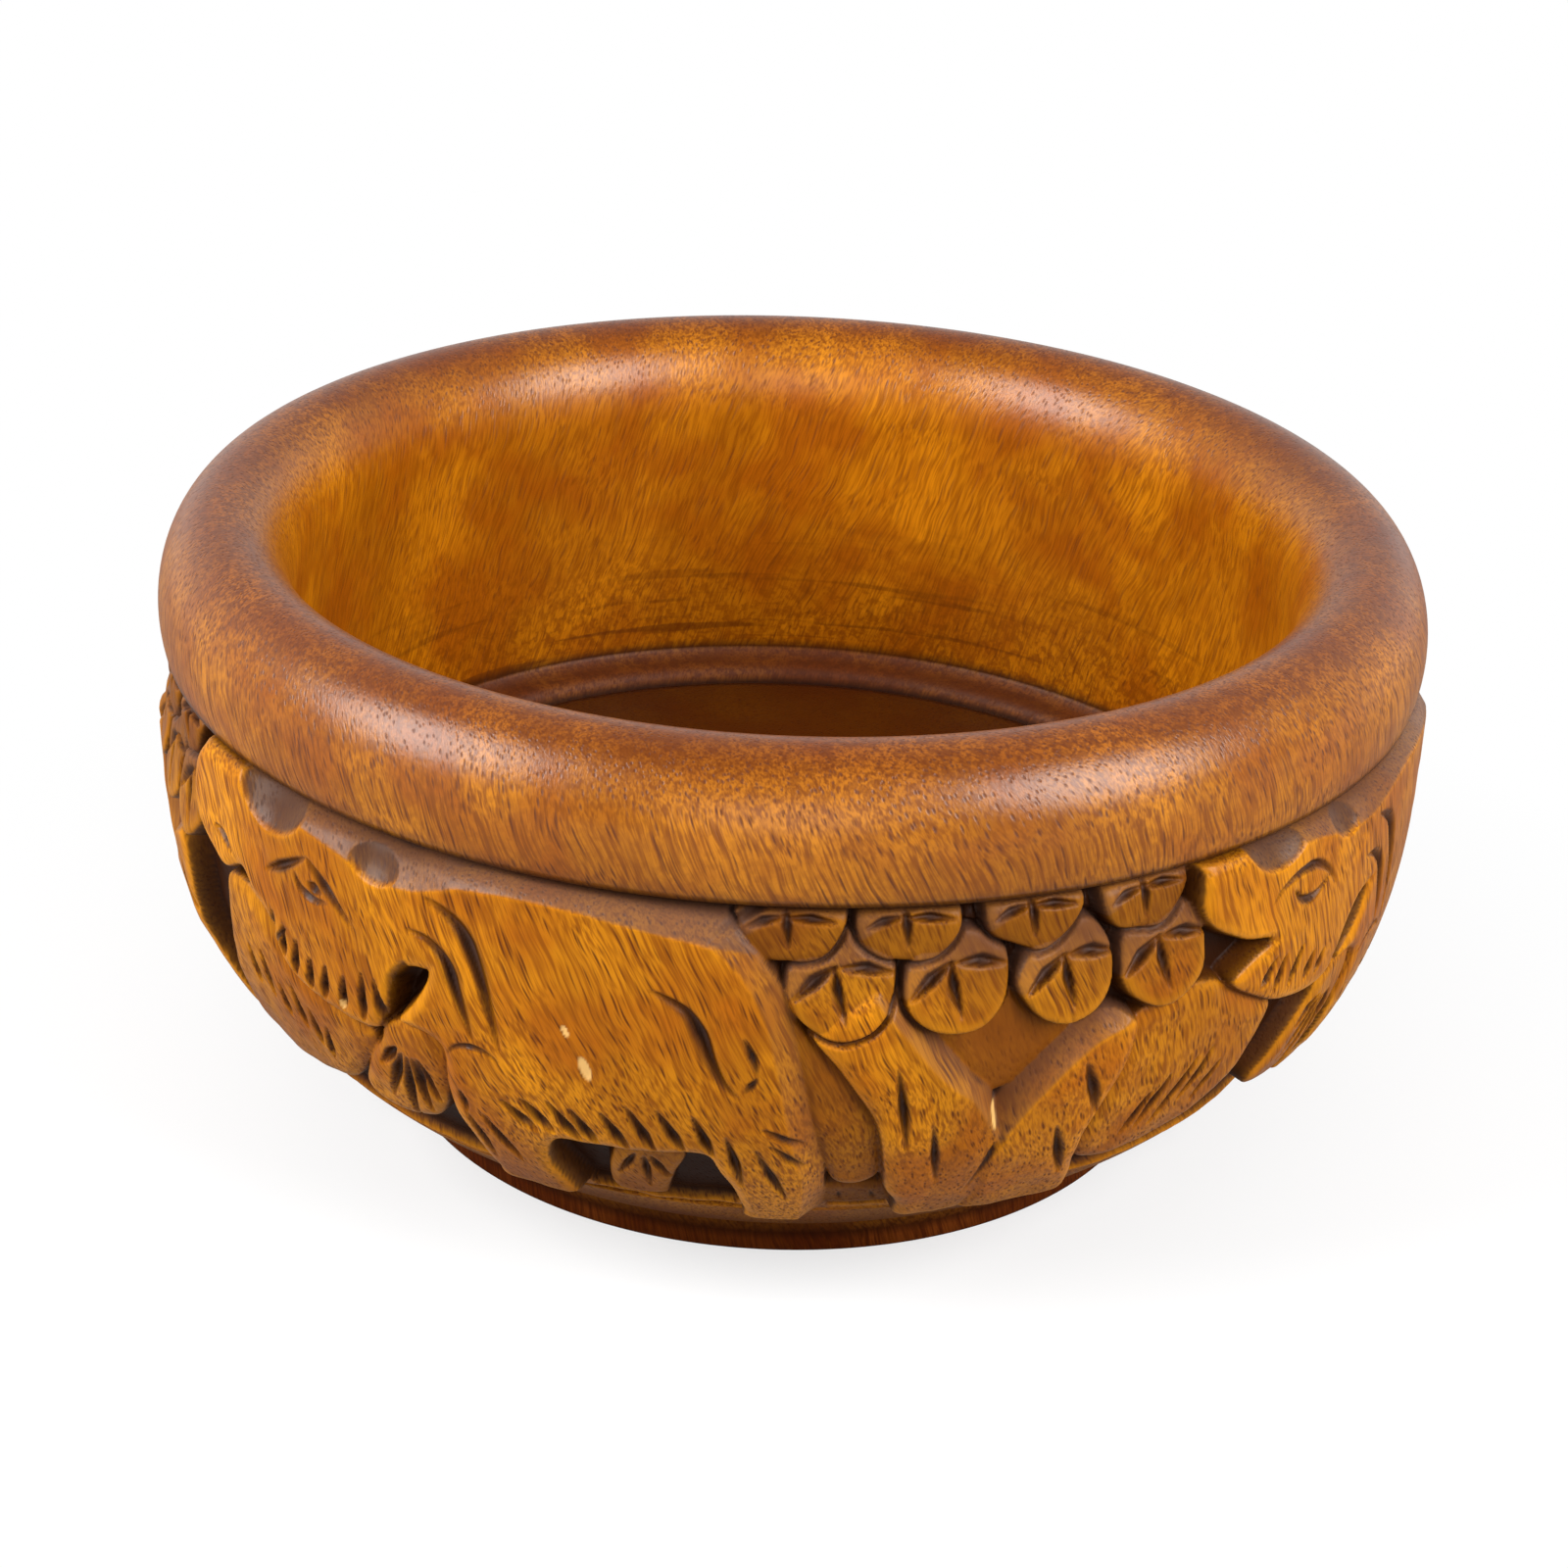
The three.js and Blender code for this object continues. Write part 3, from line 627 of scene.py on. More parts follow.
def carve_animal(relief, at, long_head):
    """The raised forms of an animal, from the farthest to the nearest."""
    head, leg, brow, *_ = LONG_KIND if long_head else SHORT_KIND
    relief.raise_form(placed(leg, at), depth=1.6, edge=4, drop=1.1, stain=0.1)
    relief.raise_form(placed(HIND_PAW, at), depth=2.6, edge=2.5, drop=0.8, stain=0.15)
    relief.raise_form(placed(FRONT_PAW, at), depth=1.2, edge=3.5, drop=1.0, stain=0.1)
    falls = [(placed(BACK_LINE, at), BACK_SLOPE, 0.6), (placed(RUMP_LINE, at), RUMP_SLOPE, 0.15)]
    relief.raise_form(placed(TORSO, at), depth=0.15, edge=3, drop=0.9, chamfers=falls)
    falls = [(placed(brow, at), BACK_SLOPE, 0.5)]
    relief.raise_form(placed(head, at), depth=0.15, edge=3, drop=0.9, chamfers=falls)
    carve_cuts(relief, WIDE_CUTS, lambda path: placed(path, at))


def carve_animal_cuts(relief, at, long_head):
    """The knife cuts on the animal, over its finished forms."""
    *_, scoops, head_cuts, fringes = LONG_KIND if long_head else SHORT_KIND

    def drawn(path):
        return placed(path, at)

    for middle, radii, depth in scoops:
        relief.gouge(drawn([middle])[0], radii, depth)
    for cuts in (head_cuts, NECK_CUTS, FORELEG_CUTS, HAUNCH_CUTS, TAIL_CUTS):
        carve_cuts(relief, cuts, drawn)
    for strokes, *knife in (*fringes, (BELLY_FRINGE, 2.8, 2.0, 0.6)):
        carve_fringe(relief, strokes, drawn, *knife)
    for middle, *fan in TOE_FANS:
        carve_fan(relief, drawn([middle])[0], *fan)


# The tree beside the animal: two rows of round leaves over a forked trunk, and a stem.
STEM = [
    (0.5, 16.5), (2.4, 26.3), (5, 33.9), (7.5, 42.8), (8.8, 49), (9.4, 56.9), (9.8, 64.8),
    (8, 68.2), (5.6, 66.5), (4.6, 60.4), (3.4, 49.5), (2.2, 37.9), (1.2, 25.8),
]
TRUNK_LEFT = [
    (9.4, 17.6), (12.2, 26.3), (14.4, 33.4), (16.8, 39.8), (18.2, 43.2), (19.2, 51.3), (21.2, 60.4),
    (22, 72.3), (22, 84), (17, 84), (12.4, 84), (11.7, 73.8), (10.3, 67.3), (9.7, 58.7), (8.9, 49),
    (7.7, 42.8), (5.2, 33.7), (3, 25.8), (6, 20.7),
]
TRUNK_RIGHT = [
    (19, 52.3), (19.7, 45.7), (21.5, 39.8), (23.7, 34.3), (26.3, 30.1), (28.6, 28.4), (30.7, 31.1),
    (30.5, 38.8), (29, 48.5), (28, 56.9), (28.2, 65.7), (29, 72.3), (29.6, 77.6), (29.8, 84),
    (19, 84), (18.8, 72.3), (18.4, 61.3),
]
UNDER_STEM = [(4.6, 69.8), (10.4, 69.8), (11.6, 73.8), (13.4, 79.2), (8, 80), (4.4, 78.4)]
CROWN_HOLLOW = [(10, 20.7), (25, 20.7), (24.5, 32.9), (18.6, 44.2), (14.5, 33.9)]
# Crest lines of the facets, each with its slope and its old wax with painted reflection.
FORK_LEFT = (
    [(7.5, 19), (10.5, 27.8), (12.6, 34.4), (14.8, 39.8), (16.2, 42.5), (17.6, 47.6), (19, 53.5),
     (21.4, 61)],
    0.95, 0.3,
)
LEFT_FACET = (
    [(8.3, 24), (10.8, 33), (12.8, 42), (13.9, 50), (14.4, 58), (14.2, 68), (13.8, 84)],
    0.09, 0.0,
)
FORK_RIGHT = (
    [(20.2, 53), (21.6, 47.2), (23.2, 42), (25.1, 37.2), (27.2, 33.4), (29.3, 31.5), (31.5, 29.5)],
    0.95, 0.3,
)
LEAF_RADIUS = 10.6
LEAF_FOLD = [(-5.5, 5.5), (-3, 1.5), (-0.3, -3.2), (2, -3), (5.5, -2)]  # each leaf falls away above this
LEAF_SLOPE, LEAF_WAX_AND_SHEEN = 0.5, 0.3
NARROW_TREE = 0.78
LOWER_LEAF_CUTS = (
    ([(-0.5, -4), (-0.1, 1), (0.6, 7.8)], 2.6, 2.0, 0.4, -0.3),
    ([(-0.2, -3.8), (-1.9, -0.4), (-3.9, 3.4)], 3.6, 2.2, 0.5, -0.4),
    ([(-0.3, -3.2), (1.8, -2.9), (4.4, -2.0)], 3.2, 2.1, 0.5, 0.4),
)
UPPER_LEAF_CUTS = (
    ([(-0.5, -2.5), (-0.3, 1), (0, 7.8)], 2.4, 1.7),
    ([(-0.4, 0.6), (-1.9, 1.8), (-3.6, 3.8)], 2.8, 1.8, 0.5, -0.3),
    ([(-0.4, 1.0), (1.6, 1.2), (3.8, 1.9)], 2.8, 1.8, 0.5, 0.3),
)
# Each row of leaves: the middles, the depth, the slope downwards, the fold's drop and the cuts.
LEAF_ROWS = (
    (((5.0, 16.5), (14.3, 16.5), (24.0, 17.6), (33.0, 18.1)), 2.2, -0.19, 0, LOWER_LEAF_CUTS),
    (((0.8, 2.2), (10.3, 2.2), (20.8, 2.0), (31.0, 2.3)), 3.0, 0.02, 3.5, UPPER_LEAF_CUTS),
)
TRUNK_CUTS = (
    ([(9.8, 32.9), (10.6, 42.8), (11.3, 53)], 2.4, 1.7),
    ([(13.2, 46.3), (13.9, 56), (14.6, 64.8)], 2.0, 1.4),
    ([(19.3, 54), (18.6, 62), (17.7, 71)], 1.5, 0.6, 0.2),
    ([(26.1, 36.9), (27.2, 43.7), (28.3, 51.3)], 3.0, 1.8),
    ([(24.5, 51.9), (25.7, 60.4), (27, 69)], 2.7, 1.8),
    ([(6.4, 72.3), (6.6, 75.3), (6.9, 77.6)], 1.2, 0.7),
    ([(9.4, 72.3), (9.8, 75.3), (10.3, 77.6)], 1.2, 0.7),
)


def round_leaf(relief, middle, squeeze, random):
    """Twelve points round a leaf, no two leaves alike."""
    turns = np.radians(np.arange(0, 360, 30) + random.uniform(-8, 8))
    reaches = LEAF_RADIUS * random.uniform(0.93, 1.05, len(turns))
    across = middle[0] + reaches * squeeze / relief.mm_per_degree * np.sin(turns)
    return np.stack([across, middle[1] + reaches * np.cos(turns)], 1)


def tree_drawing(at, narrow):
    """A tree's squeeze, and what puts its points in place; narrow where the next head is long."""
    squeeze = NARROW_TREE if narrow else 1.0
    return squeeze, lambda points: [(at + x * squeeze, y) for x, y in points]


def carve_tree(relief, at, narrow, random):
    """The raised forms of a tree, from the farthest to the nearest."""
    squeeze, drawn = tree_drawing(at, narrow)
    relief.raise_form(drawn(CROWN_HOLLOW), depth=4.2, edge=4, drop=0.6, wall=3.0)
    # The stains darken the stem, the form under it and the leaves, partly as painted shade.
    relief.raise_form(drawn(STEM), depth=2.6, edge=2.5, drop=0.7, outline=1.2, stain=0.2)
    relief.raise_form(drawn(UNDER_STEM), depth=3.4, edge=2.5, drop=0.7, stain=0.4)
    for trunk, crests in ((TRUNK_LEFT, (FORK_LEFT, LEFT_FACET)), (TRUNK_RIGHT, (FORK_RIGHT,))):
        chamfers = [(drawn(crest), slope, wax) for crest, slope, wax in crests]
        relief.raise_form(drawn(trunk), depth=0.4, edge=3, drop=0.9, chamfers=chamfers)
    for middles, depth, fall, fold_drop, _ in LEAF_ROWS:
        for x, y in middles:
            leaf = round_leaf(relief, drawn([(x, y)])[0], squeeze, random)
            fold = drawn([(x + across, y + down + fold_drop) for across, down in LEAF_FOLD])
            tilt = (random.uniform(-0.06, 0.06), fall)
            relief.raise_form(
                leaf, depth, edge=2.5, drop=0.6, wall=5.0, tilt=tilt,
                chamfers=[(fold, LEAF_SLOPE, LEAF_WAX_AND_SHEEN)], outline=1.6, stain=0.32,
            )


def carve_tree_cuts(relief, at, narrow):
    """The notches in the leaves and the knife cuts on the trunk."""
    _, drawn = tree_drawing(at, narrow)
    for middles, *_, cuts in LEAF_ROWS:
        for x, y in middles:
            for path, *knife in cuts:
                relief.cut(drawn([(x + across, y + down) for across, down in path]), *knife)
    carve_cuts(relief, TRUNK_CUTS, drawn)


TOOL_MARK_SIZE = 4.5  # mm across one flat left by the knife
TOOL_MARK_DEPTH = 0.10  # mm
EDGE_SOFTNESS = 0.15  # mm, years of handling and finish
GROOVE_WIDTH = 1.1  # mm that the groove's cut reaches down from the roll
GROOVE_STAIN_AND_SHADE_WIDTH = 1.43  # mm that its stain and the painted shadow under the roll reach
GROOVE_CUT = 1.4  # mm deep
# Chips in the finish: the middle, and the half width and half height in millimetres.
CHIPS = (
    ((-15.2, 37.5), (1.2, 3.0)), ((-16.8, 30), (0.7, 1.3)),
    ((-38.9, 40.6), (0.5, 1.2)), ((18.8, 48), (0.8, 3.4)),
)
MARGIN = 4.0  # mm of plain surface worked out with the band


def end_at_plain_surface(relief, length, lower):
    """The feet end square at the plain surface; the ground between them is cut on a little below it."""
    falls = relief.falls[:, None]
    proud, sunk = np.minimum(relief.depth, lower), np.maximum(relief.depth - lower, 0)
    below = ramp(falls, length - 0.8, length + 0.8)
    deep = 1 - ramp(falls, length + 1.6, length + 3.2)
    relief.depth = proud * (1 - below) + lower * below + sunk * deep


def carve_band(turning, carving):
    """The whole band, cut in the order a carver works: ground, forms, then knife cuts."""
    mm_per_degree = turning.band_radius / MM * math.pi / 180
    length, ground, lower = carving.length / MM, carving.depth / MM, carving.lower_body / MM
    relief = Relief(carving.columns, carving.rows, length + MARGIN, ground, mm_per_degree)
    random = np.random.default_rng(carving.seed)
    spans = [(k * REPEAT_DEGREES, k % 2 == 0) for k in range(REPEATS)]
    for at, long_head in spans:
        carve_tree(relief, at, not long_head, random)
        carve_animal(relief, at, long_head)
    end_at_plain_surface(relief, length, lower)
    for at, long_head in spans:
        carve_tree_cuts(relief, at, not long_head)
        carve_animal_cuts(relief, at, long_head)
    for middle, radii in CHIPS:
        relief.chip(middle, radii)
    falls = relief.falls[:, None]
    relief.depth += GROOVE_CUT * np.exp(-((falls / GROOVE_WIDTH) ** 2))
    marks = relief.blurred(random.standard_normal(relief.depth.shape), TOOL_MARK_SIZE / 2)
    relief.depth += TOOL_MARK_DEPTH * marks / marks.std()
    relief.depth = relief.blurred(relief.depth, EDGE_SOFTNESS)
    relief.depth = np.maximum(relief.depth, carving.skin / MM)
    # A dark line at the top of the band: stain in the groove and painted shadow under the roll's overhang.
    relief.stain = np.maximum(relief.stain, np.exp(-((falls / GROOVE_STAIN_AND_SHADE_WIDTH) ** 2)))
    return relief


# Mesh building.
# How much of each shows at a point: browner ground with painted shade in recesses, stain with painted
# shade, wax with painted reflection, worn edges, bare wood, the rim's tone, the foot's tone, the inner
# wall's tone and the polish.
ATTRIBUTES = ("hollow", "stain", "wax", "crest", "bare", "rim", "foot", "inside", "polish")
TURNS_ACROSS = 1.01  # a little over one turn fits across the layout


def stitched(many, first, few, start):
    """Triangles between a ring of many points and one of few, wound for the many below the few.

    The sides stand on the ring of many points and the tips on the ring of few. Each ring's points are
    numbered on from its first or its start.
    """
    i = np.arange(many)
    ratio = many // few
    at = ((i + ratio // 2) // ratio) % few if few > 1 else np.zeros_like(i)
    n, after = (i + 1) % many, np.roll(at, -1)
    sides = np.stack([first + i, first + n, start + at], 1)
    tips = np.stack([first + n, start + after, start + at], 1)[at != after]
    return sides, tips


class Shell:
    """Rings of points round the axis, joined in order into one closed skin."""

    def __init__(self):
        self.points, self.marks, self.starts, self.counts = [], [], [], []
        self.total = 0

    def ring(self, sides, radius, z, **marks):
        """Points round the axis, from the front; the radius and height may differ from point to point."""
        turn = 2 * math.pi * np.arange(sides) / sides
        radius, z = np.broadcast_to(radius, (sides,)), np.broadcast_to(z, (sides,))
        self.add(np.stack([radius * np.sin(turn), -radius * np.cos(turn), z], 1), marks)

    def add(self, points, marks):
        self.starts.append(self.total)
        self.counts.append(len(points))
        self.points.append(points)
        self.marks.append([np.broadcast_to(marks.get(name, 0.0), (len(points),)) for name in ATTRIBUTES])
        self.total += len(points)

    def centre(self, z, **marks):
        self.add(np.array([[0.0, 0.0, z]]), marks)

    def faces(self):
        """Four-sided faces between equal rings, and triangles between others."""
        found = []
        for k in range(len(self.counts) - 1):
            a, b, low, high = self.counts[k], self.counts[k + 1], self.starts[k], self.starts[k + 1]
            if a == b:
                i = np.arange(a)
                n = (i + 1) % a
                found.extend(np.stack([low + i, low + n, high + n, high + i], 1).tolist())
            elif a > b:
                sides, tips = stitched(a, low, b, high)
                found.extend(sides.tolist() + tips.tolist())
            else:
                sides, tips = stitched(b, high, a, low)
                found.extend(sides[:, [1, 0, 2]].tolist() + tips[:, [0, 2, 1]].tolist())
        return found

    def unwrap(self, mesh):
        """Lays the skin flat: its turn round the axis across, and the way along its section up."""
        turns = np.concatenate([np.arange(count) / count for count in self.counts])
        sections = np.array([[np.hypot(*ring[:, :2].T).mean(), ring[:, 2].mean()] for ring in self.points])
        ways = np.concatenate([[0.0], np.cumsum(np.hypot(*np.diff(sections, axis=0).T))])
        ways = np.repeat(ways / ways[-1], self.counts)
        corners = np.empty(len(mesh.loops), int)
        mesh.loops.foreach_get("vertex_index", corners)
        firsts = np.empty(len(mesh.polygons), int)
        mesh.polygons.foreach_get("loop_start", firsts)
        across = turns[corners]
        widest = np.repeat(np.maximum.reduceat(across, firsts), np.diff(np.append(firsts, len(corners))))
        across = np.where(widest - across > 0.5, across + 1, across)
        spread = np.stack([across / TURNS_ACROSS, ways[corners]], 1)
        layout = mesh.uv_layers.new(name="OFBake")
        layout.data.foreach_set("uv", spread.ravel().astype(np.float32))

    def build(self, name):
        mesh = bpy.data.meshes.new(name)
        mesh.from_pydata(np.vstack(self.points).tolist(), [], self.faces())
        for i, attribute in enumerate(ATTRIBUTES):
            values = np.concatenate([marks[i] for marks in self.marks]).astype(np.float32)
            mesh.attributes.new(attribute, "FLOAT", "POINT").data.foreach_set("value", values)
        mesh.polygons.foreach_set("use_smooth", np.ones(len(mesh.polygons), bool))
        self.unwrap(mesh)
        mesh.update()
        if mesh.validate():
            raise RuntimeError(f"the mesh of {name} was not sound")
        piece = bpy.data.objects.new(name, mesh)
        bpy.context.scene.collection.objects.link(piece)
        return piece


PLAIN_SIDES = 384
ROLL_STEPS = 44
WALL_STEPS = 26
LOWER_BODY_STEPS = 19
DISC_STEPS = 60
FOOT_LIP = 0.0008  # metres, round the foot's lower edge
DISC_CHAMFER = 0.0006
LATHE_MARK = 0.00006  # depth of the turner's faint rings
NEARBY = 1.6  # mm over which a place is set against its surroundings, to find crests and hollows
GROOVE_SHADE = 0.07  # radians of the roll's underside that the groove's stain and painted shade reach
LOWER_BODY_SHADE = 0.020  # over which the plain surface darkens towards the foot
# The rounded ledge, as shares of its width and its rise, from the foot of the wall to the floor.
LEDGE_SECTION = ((0.93, 0.86), (0.75, 0.68), (0.5, 0.6), (0.28, 0.54), (0.12, 0.42), (0.03, 0.22), (0, 0))


def turn_foot(shell, turning, carving):
    """From the middle of the underside, round the foot and up the plain lower body."""
    shell.centre(0.0, foot=1)
    for share in (0.3, 0.6, 0.85):
        shell.ring(PLAIN_SIDES, turning.foot_radius * share, 0.0, foot=1)
    for share in (0.0, 0.5, 1.0):
        a = math.pi / 2 * share
        radius = turning.foot_radius - FOOT_LIP * (1 - math.sin(a))
        shell.ring(PLAIN_SIDES, radius, FOOT_LIP * (1 - math.cos(a)), foot=1)
    shell.ring(PLAIN_SIDES, turning.foot_radius, turning.foot_z * 0.6, foot=1)
    shell.ring(PLAIN_SIDES, turning.foot_radius, turning.foot_z, foot=1, stain=0.6)
    band_end = carving.length + MARGIN * MM
    for fall in np.linspace(turning.falls[-1], band_end, LOWER_BODY_STEPS + 1)[:-1]:
        radius, z = turning.sunk(fall, carving.lower_body)
        dark = float(ramp(fall, carving.length, carving.length + LOWER_BODY_SHADE))
        shell.ring(PLAIN_SIDES, radius, z, foot=0.3 + 0.4 * dark)


def lay_band(shell, turning, carving):
    """The carved band, from its lower end up to the groove."""
    relief = carve_band(turning, carving)
    length = carving.length / MM
    # Each mark starts at one depth in millimetres, or one slope, and is full at another.
    near = relief.blurred(relief.depth, NEARBY)
    down, across = np.gradient(relief.depth, relief.falls[1], relief.step * relief.mm_per_degree)
    # Painted shade with stain on the steep walls of the cuts, and painted shade in the deepest holes.
    on_walls = 0.8 * ramp(np.hypot(down, across), 0.7, 2.2)
    in_holes = ramp(relief.depth, 4.4, 5.8)
    above = 1 - ramp(relief.falls, length - 0.5, length + 1.5)
    # Browner ground that deepens with depth, with painted shade where a place lies below its surroundings.
    in_ground = ramp(relief.depth, 0.9, 4.6) * above[:, None]
    marks = {
        "hollow": np.maximum(in_ground, ramp(relief.depth - near, 0.1, 1.1)),
        "stain": np.maximum(relief.stain, np.maximum(on_walls, in_holes)),
        "wax": relief.wax,
        "crest": ramp(near - relief.depth, 0.12, 0.9),
        "bare": relief.bare,
    }
    low = ramp(relief.falls, length - 12, length + 2)
    for row in range(len(relief.falls) - 1, -1, -1):
        radius, z = turning.sunk(relief.falls[row] * MM, relief.depth[row] * MM)
        here = {name: sheet[row] for name, sheet in marks.items()}
        shell.ring(carving.columns, radius, z, foot=0.3 * low[row], **here)


def turn_roll(shell, turning):
    """The rolled rim, from the groove over its top to the inner wall. Its angles are in radians."""
    for i in range(ROLL_STEPS + 1):
        angle = -turning.groove_angle + (math.pi + turning.groove_angle) * i / ROLL_STEPS
        radius, z = turning.roll_point(angle)
        # Painted shade and stain on the roll's underside, next to the groove.
        under = math.exp(-(((angle + turning.groove_angle) / GROOVE_SHADE) ** 2))
        rim = float((0.45 + 0.55 * ramp(angle, 0.5, 1.25)) * (1 - ramp(angle, 1.7, 2.7)))
        inside = float(ramp(angle, 2.0, 3.1))
        worn = 1 - 0.6 * float(ramp(angle, 0.95, 1.45) * (1 - ramp(angle, 1.9, 2.3)))
        shell.ring(PLAIN_SIDES, radius, z, rim=rim, stain=0.8 * under, inside=inside, polish=worn)


def turn_inside(shell, turning):
    """The inner wall, the ledge at its foot, and the recess for the floor disc."""
    low_wall = turning.floor_z + turning.ledge_rise
    for i in range(1, WALL_STEPS + 1):
        share = i / WALL_STEPS
        z = turning.roll_z + (low_wall - turning.roll_z) * share
        radius = turning.mouth_radius + (turning.wall_radius - turning.mouth_radius) * share
        corner = 0.9 if i == WALL_STEPS else 0.0
        shell.ring(PLAIN_SIDES, radius, z, inside=1, polish=1 - share, stain=corner)
    edge = turning.wall_radius - turning.recess_radius
    for across, up in LEDGE_SECTION:
        radius, z = turning.recess_radius + edge * across, turning.floor_z + turning.ledge_rise * up
        shell.ring(PLAIN_SIDES, radius, z, inside=1, foot=0.8, polish=0.8, stain=0.8 if up == 0 else 0.0)
    shell.ring(PLAIN_SIDES, turning.recess_radius, turning.recess_z, foot=1)
    shell.centre(turning.recess_z, foot=1)


def body_shell(sizes, carving):
    """The body's whole skin, from the middle of the underside to the middle of the recess."""
    turning = Turning(sizes)
    shell = Shell()
    turn_foot(shell, turning, carving)
    lay_band(shell, turning, carving)
    turn_roll(shell, turning)
    turn_inside(shell, turning)
    return shell


def disc_shell(sizes):
    """The floor disc's skin, its upper face faintly ringed by the turning tool."""
    turning = Turning(sizes)
    shell = Shell()
    flat_radius = turning.disc_radius - DISC_CHAMFER
    shell.centre(turning.disc_z)
    shell.ring(PLAIN_SIDES, flat_radius, turning.disc_z)
    shell.ring(PLAIN_SIDES, turning.disc_radius, turning.disc_z + DISC_CHAMFER, stain=1)
    shell.ring(PLAIN_SIDES, turning.disc_radius, turning.floor_z - DISC_CHAMFER, stain=1)
    shell.ring(PLAIN_SIDES, flat_radius, turning.floor_z, stain=0.6)
    for i in range(1, DISC_STEPS):
        ripple = LATHE_MARK * (1 - math.cos(i * 1.9)) * 0.5
        shell.ring(PLAIN_SIDES, flat_radius * (1 - i / DISC_STEPS), turning.floor_z - ripple)
    shell.centre(turning.floor_z)
    return shell


# Materials.
def add_node(tree, label, kind, inputs=None, **settings):
    """Adds a node; an input is a value, or "label.Output" of a node added before it, to link."""
    node = tree.nodes.new("ShaderNode" + kind)
    node.name = label
    for name, value in settings.items():
        setattr(node, name, value)
    for socket, value in (inputs or {}).items():
        if isinstance(value, str):
            source, output = value.split(".")
            outputs = tree.nodes[source].outputs
            tree.links.new(outputs[int(output) if output.isdigit() else output], node.inputs[socket])
        else:
            node.inputs[socket].default_value = value
    return node


def new_tree(owner):
    owner.use_nodes = True
    owner.node_tree.nodes.clear()
    return owner.node_tree


def per_mm(size):
    """How many patterns of this size in millimetres fit in a metre, for a texture's scale."""
    return 1000 / size


def colour(value):
    return (*value, 1.0)


SPIRAL = 3.2  # radians per metre that the grain winds round the trunk
DRIFT = 0.014  # metres that the grain wanders over a hand's breadth
WAVER = 0.0028  # and over a finger's breadth
DISC_DARKNESS = 0.9  # share of the floor's colour over the disc's own wood


